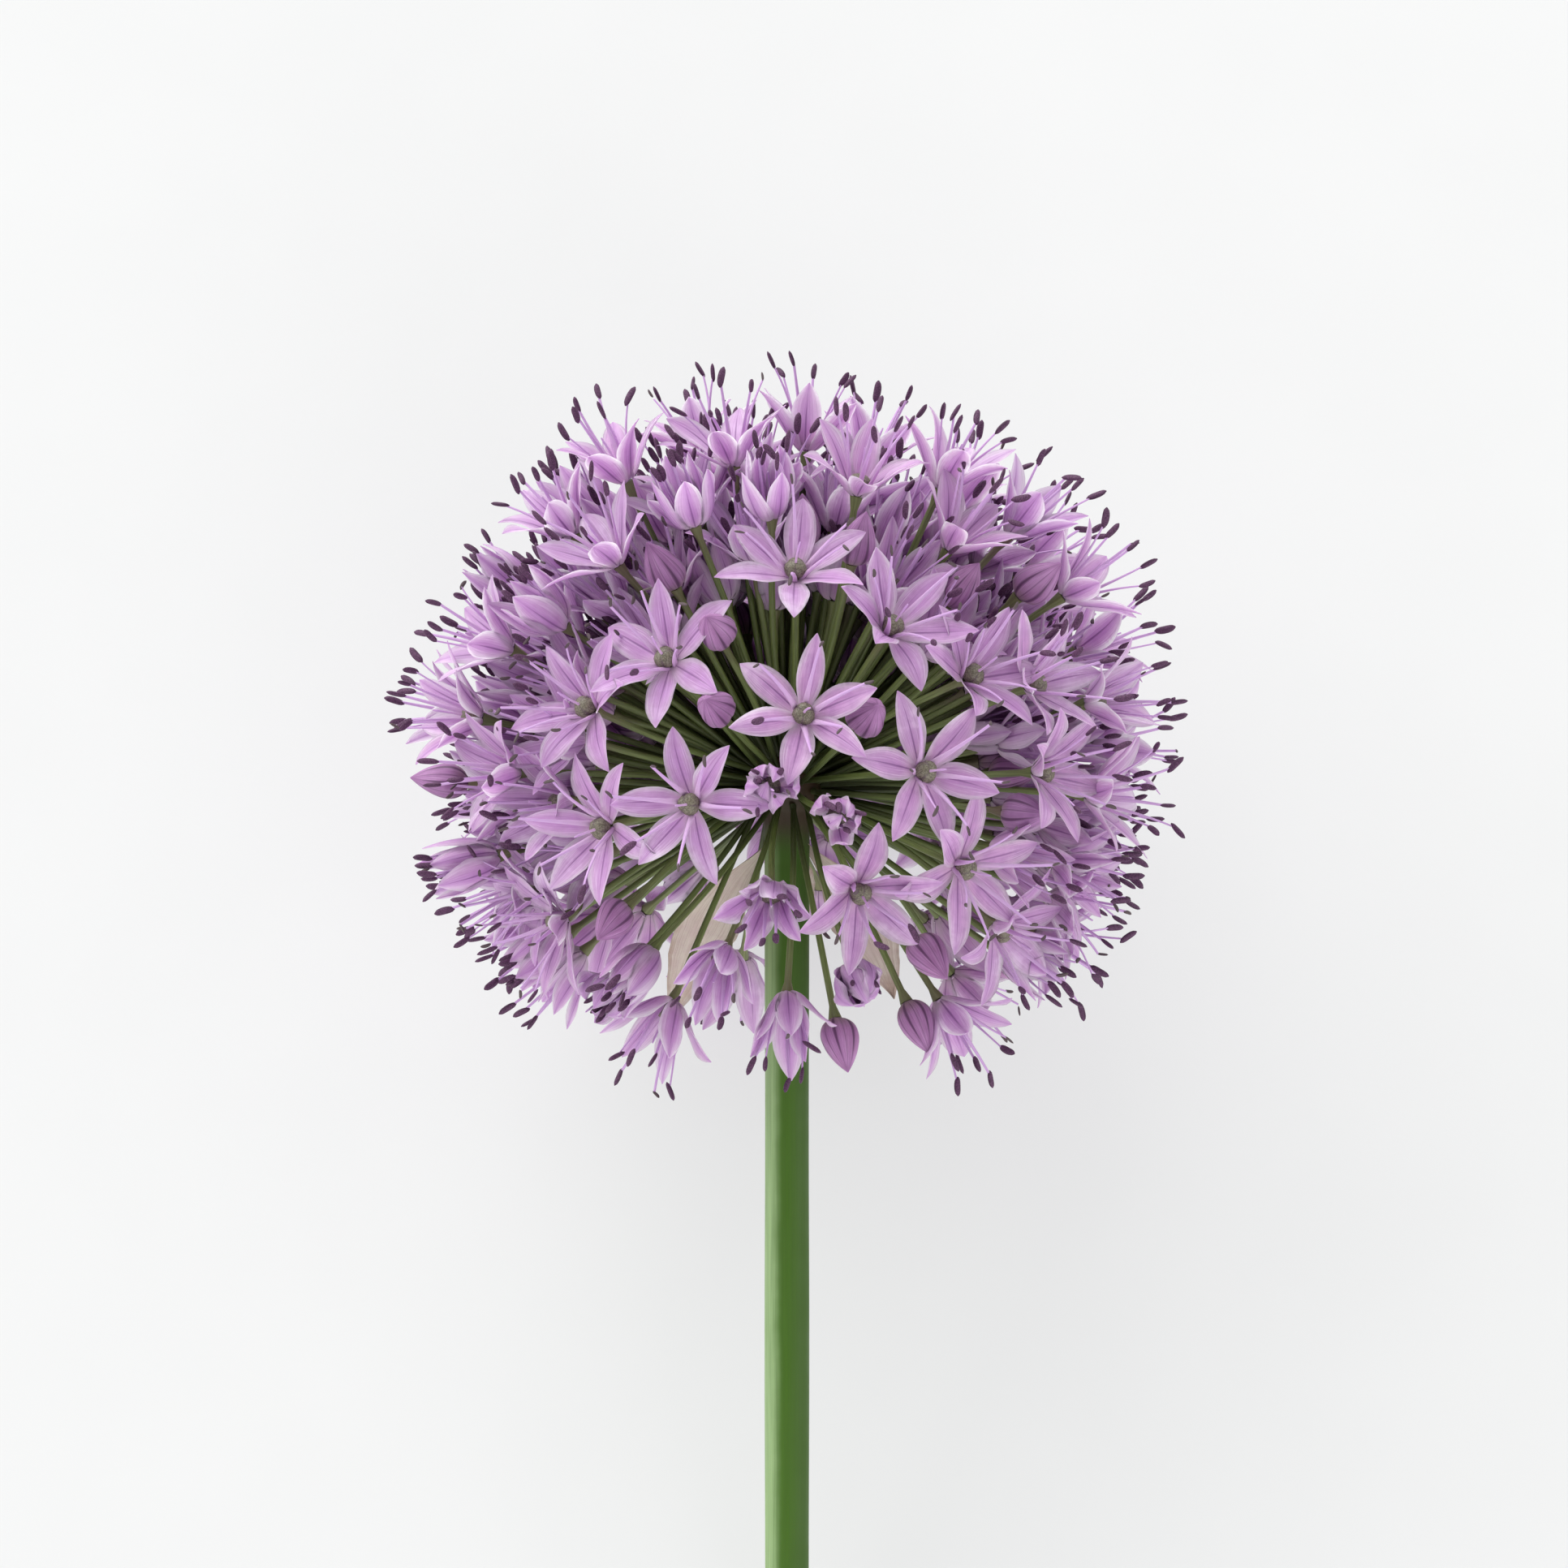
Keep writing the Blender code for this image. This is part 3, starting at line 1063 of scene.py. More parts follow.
@dataclass(frozen=True)
class TepalFinish:
    """Lilac petal: dark midvein, fine lengthwise streaks, pale base and edges, duller when old."""

    name: str = "tepal_lilac"
    base: Colour = paint(230, 200, 222)
    lilac: Colour = paint(214, 173, 219)
    rose: Colour = paint(204, 154, 202)
    violet: Colour = paint(187, 139, 197)
    vein: Colour = paint(118, 68, 128)
    pale: Colour = paint(238, 214, 244)
    tip: Colour = paint(166, 112, 178)
    aged: Colour = paint(164, 116, 168)
    midvein: tuple[float, float] = (0.13, 0.035)
    midvein_strength: float = 0.72
    streak_strength: float = 0.3
    seam_strength: float = 0.0
    fading: float = 0.6
    ageing: float = 0.62
    bud_like: bool = False

    def make(self) -> bpy.types.Material:
        """Builds the petal material.

        Returns:
            The finished material.
        """
        p = Paint(self.name)
        across, along = p.map_axes(STRIP_MAP)
        tone, youth = p.map_axes(MARK_MAP)
        if self.bud_like:
            across = p.math("FRACT", across)
        offset = p.from_middle(across)
        lanes = p.point(p.times(across, 13), along, p.times(tone, 40))
        streaks = p.noise(lanes, 2.2, 3)
        clouds = p.noise(p.place(), 420, 3, 0.6)
        drifts = p.noise(p.place(), 75, 1)
        body = p.tint(self.rose, self.violet, tone, 0, 1)
        body = p.tint(body, self.lilac, clouds, 0.3, 0.7, 0.6)
        body = p.tint(body, self.pale, drifts, 0.48, 0.7, self.fading)
        mottling = p.span(clouds, 0.35, 0.62, 0.1, self.ageing)
        body = p.mix(p.times(p.span(youth, 0.7, 0, 0, 1), mottling), body, self.aged)
        body = p.tint(body, self.vein, streaks, 0.47, 0.75, self.streak_strength)
        body = p.tint(body, self.pale, streaks, 0.5, 0.25, 0.4)
        body = p.tint(body, self.pale, offset, 0.6, 1.0, 0.12)
        body = p.tint(body, self.base, along, 0.34, 0.0, 0.6)
        body = p.tint(body, self.tip, along, 0.82, 1.0, 0.5)
        keel = p.times(p.span(offset, 0.7, 0.0, 0, 1), p.span(along, 0.06, 0.35, 0, 1))
        body = p.mix(p.times(keel, p.span(youth, 0, 1, 0.3, 0.66)), body, self.tip)
        body = p.tint(body, self.vein, offset, 0.86, 1.0, self.seam_strength)
        width = p.span(along, 0.0, 1.0, *self.midvein)
        line = p.math("SUBTRACT", 1, p.math("DIVIDE", offset, width))
        fading = p.span(along, 0.95, 0.5, 0.25, self.midvein_strength)
        line = p.times(p.span(line, 0, 0.8, 0, 1), fading)
        body = p.mix(line, body, self.vein)
        ribs = p.math("SUBTRACT", streaks, p.times(line, 0.8))
        p.bump(ribs, 0.35, 0.12 * MM)
        rough = p.span(streaks, 0.3, 0.7, 0.42, 0.6)
        return p.surface(body, rough, soft=0.75, depth=0.8 * MM, sheen=0.12)


@dataclass(frozen=True)
class BudFinish(TepalFinish):
    """Rosier and duller than the open petal, with dark seams between the six closed ones."""

    name: str = "bud_rose"
    base: Colour = paint(156, 138, 128)
    lilac: Colour = paint(186, 136, 188)
    rose: Colour = paint(172, 116, 166)
    violet: Colour = paint(154, 104, 158)
    vein: Colour = paint(88, 44, 88)
    pale: Colour = paint(222, 182, 224)
    tip: Colour = paint(124, 76, 126)
    midvein: tuple[float, float] = (0.3, 0.12)
    midvein_strength: float = 0.9
    seam_strength: float = 0.55
    fading: float = 0.15
    ageing: float = 0.1
    bud_like: bool = True


@dataclass(frozen=True)
class StalkFinish:
    """Green stalk, darkened towards its foot by painted shade where the stalks crowd into the head's
    middle, and flushed with purple under the flower.
    """

    name: str = "stalk_green"
    low: Colour = paint(104, 124, 54)
    high: Colour = paint(124, 140, 80)
    flush: Colour = paint(112, 82, 84)
    # the grain's darker streaks, and the painted shade laid over the stalk towards its foot
    dark: Colour = paint(44, 52, 20)

    def make(self) -> bpy.types.Material:
        """Builds the stalk material.

        Returns:
            The finished material.
        """
        p = Paint(self.name)
        across, along = p.map_axes(STRIP_MAP)
        tone, _ = p.map_axes(MARK_MAP)
        lanes = p.point(p.times(across, 6), p.times(along, 2.2), tone)
        grain = p.noise(lanes, 2.4, 2)
        body = p.tint(self.low, self.high, along, 0.0, 0.8)
        body = p.tint(body, self.dark, grain, 0.35, 0.7, 0.45)
        body = p.mix(p.times(p.span(along, 0.72, 1.0, 0, 0.8), tone), body, self.flush)
        # painted shade: the stalk darkens towards its foot, deep in the head where the stalks crowd
        # together
        body = p.tint(body, self.dark, along, 0.5, 0.0, 0.9)
        p.bump(grain, 0.15, 0.06 * MM)
        return p.surface(body, p.span(grain, 0.3, 0.7, 0.34, 0.5), soft=0.08, depth=0.5 * MM)


@dataclass(frozen=True)
class OvaryFinish:
    """Olive grey ovary with a fine pimpled skin."""

    name: str = "ovary_olive"
    body: Colour = paint(128, 122, 104)
    dark: Colour = paint(78, 74, 60)
    furrow: Colour = paint(84, 62, 78)

    def make(self) -> bpy.types.Material:
        """Builds the ovary material.

        Returns:
            The finished material.
        """
        p = Paint(self.name)
        across, _ = p.map_axes(STRIP_MAP)
        pimples = p.noise(p.place(), 5200, 2)
        lobe = p.from_middle(p.math("FRACT", p.times(across, 3)))
        body = p.tint(self.body, self.dark, pimples, 0.35, 0.65, 0.8)
        body = p.tint(body, self.furrow, lobe, 0.8, 1.0, 0.6)
        p.bump(pimples, 0.6, 0.08 * MM)
        return p.surface(body, p.span(pimples, 0.3, 0.7, 0.35, 0.6), soft=0.05, depth=0.4 * MM)


@dataclass(frozen=True)
class FilamentFinish:
    """Pale lilac thread, a little rosier where it leaves the tepal."""

    name: str = "filament_lilac"
    low: Colour = paint(208, 176, 210)
    high: Colour = paint(196, 158, 208)

    def make(self) -> bpy.types.Material:
        """Builds the filament material.

        Returns:
            The finished material.
        """
        p = Paint(self.name)
        across, along = p.map_axes(STRIP_MAP)
        grain = p.noise(p.point(p.times(across, 4), p.times(along, 5)), 3)
        body = p.tint(self.low, self.high, along, 0.1, 0.9)
        body = p.tint(body, TepalFinish.violet, grain, 0.4, 0.7, 0.25)
        return p.surface(body, p.span(grain, 0.3, 0.7, 0.4, 0.55), soft=0.2, depth=0.6 * MM)


@dataclass(frozen=True)
class AntherFinish:
    """Dark purple grey anther with a darker slit and pale dust, greyer once it has shed."""

    name: str = "anther_purple"
    fresh: Colour = paint(106, 68, 102)
    dark: Colour = paint(58, 34, 56)
    dust: Colour = paint(140, 122, 134)
    spent: Colour = paint(88, 80, 76)

    def make(self) -> bpy.types.Material:
        """Builds the anther material.

        Returns:
            The finished material.
        """
        p = Paint(self.name)
        across, _ = p.map_axes(STRIP_MAP)
        _, shed = p.map_axes(MARK_MAP)
        mealy = p.noise(p.place(), 6800, 3, 0.7)
        slit = p.math("ABSOLUTE", p.math("SUBTRACT", across, 0.5))
        body = p.tint(self.fresh, self.dark, mealy, 0.3, 0.7)
        body = p.tint(body, self.spent, shed, 0, 1, 0.75)
        body = p.tint(body, self.dark, slit, 0.09, 0.02, 0.65)
        body = p.tint(body, self.dust, mealy, 0.6, 0.8, 0.5)
        p.bump(mealy, 0.5, 0.06 * MM)
        return p.surface(body, p.span(mealy, 0.3, 0.7, 0.5, 0.75), specular=0.3)


@dataclass(frozen=True)
class StemFinish:
    """Solid green stem: a pale waxy coat with a painted highlight on the side that faces the key light,
    painted shade on the other side, and a brown collar at its top.
    """

    name: str = "stem_green"
    # pale waxy coat, together with the painted highlight on the side that faces the key light
    bloom_and_highlight: Colour = paint(146, 174, 120)
    green: Colour = paint(66, 102, 24)
    # darker green for the fibres, and painted shade on the side of the stem turned from the light
    fibre_and_shade: Colour = paint(58, 88, 26)
    pith: Colour = paint(196, 208, 156)
    collar: Colour = paint(62, 50, 30)

    def make(self) -> bpy.types.Material:
        """Builds the stem material.

        Returns:
            The finished material.
        """
        p = Paint(self.name)
        across, along = p.map_axes(STRIP_MAP)
        _, cut = p.map_axes(MARK_MAP)
        fibres = p.noise(p.point(p.times(across, 34), p.times(along, 5)), 1.6, 3)
        patches = p.noise(p.place(), 130, 3, 0.6)
        side = p.math("ABSOLUTE", p.math("SUBTRACT", across, 0.5))
        # how far round the stem from its waxy side, which is also the side lit by the key light
        from_waxy_lit_side = p.math("ADD", side, p.times(p.math("SUBTRACT", patches, 0.5), 0.05))
        # real waxy coat and painted highlight: the stem is paler on its lit side
        body = p.tint(self.green, self.bloom_and_highlight, from_waxy_lit_side, 0.22, 0.12)
        # painted shade: the side of the stem turned from the light is darker
        body = p.tint(body, self.fibre_and_shade, from_waxy_lit_side, 0.24, 0.4, 0.8)
        body = p.tint(body, self.fibre_and_shade, fibres, 0.35, 0.7, 0.3)
        body = p.mix(p.times(cut, p.span(patches, 0.2, 0.6, 0.7, 1)), body, self.pith)
        body = p.tint(body, self.collar, along, 0.93, 0.97)
        p.bump(fibres, 0.25, 0.12 * MM)
        return p.surface(body, p.span(patches, 0.3, 0.7, 0.4, 0.56), soft=0.05, specular=0.3)


@dataclass(frozen=True)
class SpatheFinish:
    """Dry papery bract, beige to rose, with parallel veins and browned edges."""

    name: str = "spathe_paper"
    paper: Colour = paint(230, 217, 202)
    rose: Colour = paint(220, 198, 190)
    vein: Colour = paint(184, 158, 142)
    brown: Colour = paint(170, 138, 112)

    def make(self) -> bpy.types.Material:
        """Builds the bract material.

        Returns:
            The finished material.
        """
        p = Paint(self.name)
        across, along = p.map_axes(STRIP_MAP)
        lanes = p.point(p.times(across, 30), p.times(along, 1.2))
        veins = p.noise(lanes, 1.6, 3)
        clouds = p.noise(p.place(), 260, 4, 0.65)
        offset = p.from_middle(across)
        worn = p.math("MAXIMUM", p.span(offset, 0.72, 1.0, 0, 1), p.span(along, 0.7, 1.0, 0, 1))
        body = p.tint(self.paper, self.rose, clouds, 0.35, 0.65)
        body = p.tint(body, self.vein, veins, 0.46, 0.66, 0.5)
        body = p.mix(p.times(worn, p.span(clouds, 0.35, 0.6, 0.15, 0.7)), body, self.brown)
        p.bump(veins, 0.7, 0.2 * MM)
        return p.surface(body, p.span(veins, 0.3, 0.7, 0.6, 0.8), soft=0.3, depth=1 * MM)


@dataclass(frozen=True)
class FloorFinish:
    """Plain pale matt surface with the faintest grain, lit softly from within like a light table."""

    name: str = "studio_surface"
    pale: Colour = (0.34, 0.342, 0.341)
    shade: Colour = (0.333, 0.335, 0.334)
    glow: float = 0.525

    def make(self) -> bpy.types.Material:
        """Builds the surface's material.

        Returns:
            The finished material.
        """
        p = Paint(self.name)
        grain = p.noise(p.place(), 40, 2)
        p.shader.inputs["Emission Color"].default_value = (0.99, 1.0, 1.0, 1)
        p.shader.inputs["Emission Strength"].default_value = self.glow
        return p.surface(p.tint(self.pale, self.shade, grain, 0.3, 0.7), 0.9, specular=0.1)


# ---------------------------------------------------------------------------
# Sub-assemblies
# ---------------------------------------------------------------------------


@dataclass(frozen=True)
class Wardrobe:
    """Every finish, made once."""

    tepal: bpy.types.Material
    bud: bpy.types.Material
    stalk: bpy.types.Material
    ovary: bpy.types.Material
    filament: bpy.types.Material
    anther: bpy.types.Material
    stem: bpy.types.Material
    spathe: bpy.types.Material

    @classmethod
    def make(cls) -> "Wardrobe":
        """Builds all of the plant's materials.

        Returns:
            The set of them.
        """
        finishes = (
            TepalFinish(),
            BudFinish(),
            StalkFinish(),
            OvaryFinish(),
            FilamentFinish(),
            AntherFinish(),
            StemFinish(),
            SpatheFinish(),
        )
        return cls(*(finish.make() for finish in finishes))


def register(
    piece: bpy.types.Object, node: str, finishes: list[bpy.types.Material]
) -> None:
    """Dresses a piece, ties it to the model and reports it.

    Args:
        piece: the new piece.
        node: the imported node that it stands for.
        finishes: its materials, in the order of its faces' numbers.
    """
    for finish in finishes:
        piece.data.materials.append(finish)
    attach(piece, "root")
    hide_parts(node)
    LOG.info("%s: %d faces for %s", piece.name, len(piece.data.polygons), node)


@dataclass
class Tuft:
    """Two packed florets, and the further ones that stand nearest to them, as three pieces."""

    number: int
    node: str
    sites: list[FloretSite]
    head: HeadFrame
    tepal: Tepal = Tepal()
    stamen: Stamen = Stamen()
    pistil: Pistil = Pistil()
    bud: Bud = Bud()
    stalk: Stalk = Stalk()
    least_opening: float = math.radians(38)
    most_opening: float = math.radians(80)
    further_opening: float = math.radians(30)
    young_reach: float = 34.5 * MM
    ageing_reach: float = 1.5 * MM
    opener_reach: float = 35 * MM
    tones: tuple[float, float] = (0.45, 0.22)
    tone_stray: float = 0.08
    tepal_stray: float = 0.06
    stamen_stray: float = 0.12
    opener_shrinking: float = 2.4
    opener_closing: float = 8.0
    young_crumple: float = 0.3
    press_height: float = 1.2 * MM
    flowers: MeshStore = field(default_factory=MeshStore)
    stamens: MeshStore = field(default_factory=MeshStore)
    stalks: MeshStore = field(default_factory=MeshStore)

    def age(self, site: FloretSite) -> float:
        """Returns 0 for a floret on a short young stalk to 1 on a fully grown one."""
        return float(smooth_step((site.reach - self.young_reach) / self.ageing_reach))

    def opening(self, site: FloretSite) -> float:
        """Returns the angle from the axis at which the tepals stand.

        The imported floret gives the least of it. Those on longer stalks are older and open
        further, where they look up from the surface and have the room.
        """
        share = (site.spread - PACKED_NECK) / PACKED_TEPAL
        packed = max(math.asin(min(max(share, 0), 1)), self.least_opening)
        facing = float(smooth_step(site.direction @ self.head.upper))
        return min(packed + self.further_opening * facing * self.age(site), self.most_opening)

    def nearness(self, direction: Array) -> float:
        """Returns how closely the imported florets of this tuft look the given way."""
        return max(float(own.direction @ direction) for own in self.sites[:2])

    def add_stalk(self, site: FloretSite, rng: np.random.Generator, tone: float) -> None:
        """Grows the stalk."""
        self.stalks.add_loft(self.stalk.rings(site.foot, site.neck(self.head), rng), (tone, 0.0))

    def add_bud(
        self, site: FloretSite, local: LocalFrame, rng: np.random.Generator, tone: float
    ) -> None:
        """Grows a closed flower.

        Args:
            site: the floret.
            local: its own axes.
            rng: its own random numbers.
            tone: from rosy, 0, to violet, 1.
        """
        rings = self.bud.rings(site.spread, site.height, rng)
        self.flowers.add_loft(local.place(rings), (tone, 0.0), 1, self.bud.strip())

    def add_tepals(
        self, local: LocalFrame, pose: FlowerPose, rng: np.random.Generator, tone: float
    ) -> None:
        """Grows six tepals in two whorls.

        Args:
            local: the flower's own axes.
            pose: how they stand.
            rng: the floret's own random numbers.
            tone: from rosy, 0, to violet, 1.
        """
        across = self.tepal.section.strip()
        for k in range(6):
            inner = k % 2 == 1
            droop = rng.normal(0, 0.09 + 0.3 * pose.crumple) - self.tepal.inner_rise * inner
            rings = self.tepal.blade(pose, droop, inner, rng)
            azimuth = k * TURN / 6 + rng.normal(0, self.tepal_stray)
            mark = (float(np.clip(tone + rng.normal(0, self.tone_stray), 0, 1)), pose.youth)
            self.flowers.add_loft(local.place(rings, azimuth), mark, across=across)

    def add_stamens(self, local: LocalFrame, pose: FlowerPose, rng: np.random.Generator) -> None:
        """Grows six stamens, one in front of each tepal.

        Args:
            local: the flower's own axes.
            pose: how they stand.
            rng: the floret's own random numbers.
        """
        for k in range(6):
            azimuth = k * TURN / 6 + rng.normal(0, self.stamen_stray)
            path = self.stamen.filament(pose, rng)
            rings = tube(path, self.stamen.radii(), self.stamen.sides, self.stamen.flatness)
            self.stamens.add_loft(local.place(rings, azimuth), (rng.uniform(0, 1), 0.0))
            self.add_anther(local.place(path[-2:], azimuth), bool(rng.random() < pose.spent_share), rng)

    def add_anther(self, end: Array, spent: bool, rng: np.random.Generator) -> None:
        """Hangs an anther on the last stretch of a filament.

        Args:
            end: the filament's last two points.
            spent: whether it has shed its pollen and shrunk.
            rng: the floret's own random numbers.
        """
        stray = rng.normal(0, self.stamen.spent_lean if spent else self.stamen.fresh_lean, 3)
        lean = unit(unit(end[1] - end[0]) + stray)
        origin = end[1] + lean * rng.uniform(*self.stamen.anther_hold)
        anther = LocalFrame.along(origin, lean, rng.uniform(0, TURN))
        mark = (rng.uniform(0, 1), float(spent))
        rings = self.stamen.anther(spent) * rng.uniform(*self.stamen.anther_sizes)
        self.stamens.add_loft(anther.place(rings), mark, 1)

    def add_pistil(self, local: LocalFrame, rng: np.random.Generator) -> None:
        """Grows the ovary and its style."""
        self.stalks.add_loft(local.place(self.pistil.ovary()), finish=1)
        self.stamens.add_loft(local.place(self.pistil.style(rng)))

    def pose(self, site: FloretSite) -> FlowerPose:
        """Returns how the tepals and stamens of a floret that isn't a bud stand.

        Args:
            site: the floret. An opener on a longer stalk is smaller, and a young flower that
                looks up from the surface is still crumpled.

        Returns:
            The pose.
        """
        if site.kind is FloretKind.GOBLET:
            return GOBLET_POSE
        if site.kind is FloretKind.OPENER:
            shorter = (self.opener_reach - site.reach) / self.opener_reach
            return replace(
                OPENER_POSE,
                size=OPENER_POSE.size * (1 + self.opener_shrinking * shorter),
                tepal_middle=OPENER_POSE.tepal_middle - self.opener_closing * abs(shorter),
            )
        pose = FlowerPose.opened(self.opening(site), self.age(site))
        looking_up = float(smooth_step((site.direction @ self.head.upper - 0.8) / 0.1))
        crumple = pose.crumple + self.young_crumple * (1 - self.age(site)) * looking_up
        return replace(pose, crumple=crumple)

    def grow(self) -> None:
        """Grows each floret according to its kind."""
        for site in self.sites:
            rng = np.random.default_rng(site.seed)
            tone = float(np.clip(rng.normal(*self.tones), 0, 1))
            local = LocalFrame.along(site.neck(self.head), site.direction, rng.uniform(0, TURN / 6))
            self.add_stalk(site, rng, tone)
            if site.kind is FloretKind.BUD:
                self.add_bud(site, local, rng, tone)
                continue
            pose = self.pose(site)
            self.add_pistil(local, rng)
            self.add_tepals(local, pose, rng, tone)
            self.add_stamens(local, pose, rng)

    def dress(self, wardrobe: Wardrobe) -> None:
        """Turns what has grown into pieces.

        Args:
            wardrobe: the plant's finishes.
        """
        parts = (
            ("flowers", self.flowers, "tepal", [wardrobe.tepal, wardrobe.bud]),
            ("stamens", self.stamens, "stamen", [wardrobe.filament, wardrobe.anther]),
            ("stalks", self.stalks, "stalk", [wardrobe.stalk, wardrobe.ovary]),
        )
        for label, store, slot, finishes in parts:
            if store.faces:
                piece = store.build(f"tuft_{self.number:02d}_{label}", self.press_height)
                register(piece, self.node, finishes)


@dataclass(frozen=True)
class Infill:
    """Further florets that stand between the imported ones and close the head."""

    head: HeadFrame
    candidates: int = 1200
    crown_spacing: float = math.radians(8.6)
    side_spacing: float = math.radians(10)
    clearance: float = 1.0
    rim: float = 0.3
    rim_share: float = 0.84
    rim_reach: float = 3.5 * MM
    bud_share: float = 0.16
    goblet_share: float = 0.2
    lowest: float = -0.32
    lowest_at_sides: float = -0.62
    side: float = 0.5
    foremost: float = 0.62
    reach: tuple[float, float] = (29.5 * MM, 35 * MM)
    bud_size: tuple[float, float] = (2.1 * MM, 6 * MM)
    goblet_size: tuple[float, float] = (2.9 * MM, 9.8 * MM)
    open_height: float = 9.6 * MM
    opening: tuple[float, float] = (0.72, 1.05)
    bud_shortening: float = 2 * MM
    crown_zone: float = 0.3
    seed: int = 41

    @classmethod
    def deeper(cls, head: HeadFrame) -> "Infill":
        """Describes the layer on shorter stalks, which is seen between the others from the side.

        Args:
            head: the laid flower's axes and sizes.

        Returns:
            The layer.
        """
        return cls(
            head,
            clearance=0.55,
            bud_share=0.2,
            goblet_share=0.6,
            rim_reach=0.5 * MM,
            lowest=0.05,
            lowest_at_sides=-0.1,
            foremost=0.4,
            reach=(25 * MM, 29 * MM),
            seed=77,
        )

    def site(self, direction: Array, rng: np.random.Generator, seed: int) -> FloretSite:
        """Makes one floret, of a kind drawn at random.

        Args:
            direction: the way that it looks.
            rng: the layer's own random numbers.
            seed: the floret's own seed.

        Returns:
            The floret's site.
        """
        foot = self.head.receptacle + direction * self.head.dome_radius
        in_rim = abs(float(direction @ self.head.upper)) < self.rim
        reach = rng.uniform(*self.reach) + (self.rim_reach if in_rim else 0)
        draw = rng.random()
        if draw < self.bud_share:
            reach -= self.bud_shortening
            return FloretSite(foot, direction, reach, *self.bud_size, FloretKind.BUD, seed)
        if draw < self.bud_share + self.goblet_share:
            return FloretSite(foot, direction, reach, *self.goblet_size, FloretKind.GOBLET, seed)
        spread = PACKED_NECK + PACKED_TEPAL * math.sin(rng.uniform(*self.opening))
        return FloretSite(foot, direction, reach, spread, self.open_height, FloretKind.OPEN, seed)

    def sites(self, taken: list[FloretSite]) -> list[FloretSite]:
        """Walks a spiral over the head and fills the gaps that it finds.

        Args:
            taken: the florets that are there already.

        Returns:
            The new florets.
        """
        rng = np.random.default_rng(self.seed)
        ways = np.array([site.direction for site in taken])
        made: list[FloretSite] = []
        for i in range(self.candidates):
            crown = 1 - 2 * (i + 0.5) / self.candidates
            ring = math.sqrt(1 - crown * crown)
            across, upper = ring * math.cos(i * GOLDEN_ANGLE), ring * math.sin(i * GOLDEN_ANGLE)
            direction = self.head.direction(across, crown, upper)
            spacing = self.crown_spacing if crown > self.crown_zone else self.side_spacing
            clearance = self.clearance * (self.rim_share if abs(upper) < self.rim else 1)
            clear = np.max(ways @ direction) < math.cos(spacing * clearance)
            apart = all(float(site.direction @ direction) < math.cos(spacing) for site in made)
            lowest = self.lowest_at_sides if abs(across) > self.side else self.lowest
            if crown > lowest and upper < self.foremost and clear and apart:
                made.append(self.site(direction, rng, 100 * self.seed + i))
        return made


@dataclass(frozen=True)
class Scape:
    """The stem, faintly ribbed, with the round receptacle on it."""

    head: HeadFrame
    node: str = "scape"
    ribs: int = 7
    rib_depth: float = 0.02
    waver: float = 0.012
    waver_rate: float = 0.11 / MM
    cut_shares: tuple[float, ...] = (0.05, 0.55, 0.9)
    cut_gap: float = 0.02 * MM
    edge_share: float = 0.985
    edge_height: float = 0.3 * MM
    neck_depth: float = 2.2
    dome: tuple[float, float] = (math.radians(138), math.radians(3))
    dome_rows: int = 18
    sides: int = 56
    rows: int = 60

    def profile(self) -> tuple[Array, Array]:
        """Returns the radius and the height over the receptacle's centre, from the cut end up."""
        head = self.head
        low = -head.stem_length
        stem = np.linspace(low, -self.neck_depth * head.dome_radius, self.rows)
        stem[0] += self.edge_height
        height = np.concatenate([np.full(len(self.cut_shares), low), stem])
        shares = [self.cut_shares, [self.edge_share], np.ones(self.rows - 1)]
        radius = np.concatenate(shares) * head.stem_radius
        polar = np.linspace(*self.dome, self.dome_rows)
        dome_height = head.dome_radius * np.cos(polar)
        dome_radius = head.dome_radius * np.sin(polar)
        return np.concatenate([radius, dome_radius]), np.concatenate([height, dome_height])

    def build(self, wardrobe: Wardrobe) -> None:
        """Makes the scape's piece.

        Args:
            wardrobe: the plant's finishes.
        """
        head = self.head
        radius, height = self.profile()
        angles = around(self.sides)
        ribbed = 1 - self.rib_depth * (0.5 + 0.5 * np.cos(self.ribs * angles)) ** 3
        wavering = 1 - self.waver * (1 + np.sin(height * self.waver_rate))
        spokes = head.right * np.cos(angles)[:, None] + head.upper * np.sin(angles)[:, None]
        reach = radius[:, None] * ribbed[None, :] * wavering[:, None]
        rings = head.receptacle + head.crown * height[:, None, None] + spokes[None] * reach[..., None]
        along = (height + head.stem_length) / head.stem_length
        cut = len(self.cut_shares)
        store = MeshStore()
        store.add_loft(rings[cut - 1:], along=along[cut - 1:])
        store.add_loft(rings[:cut] - head.crown * self.cut_gap, (0.0, 1.0), along=along[:cut])
        register(store.build("scape_stem"), self.node, [wardrobe.stem])


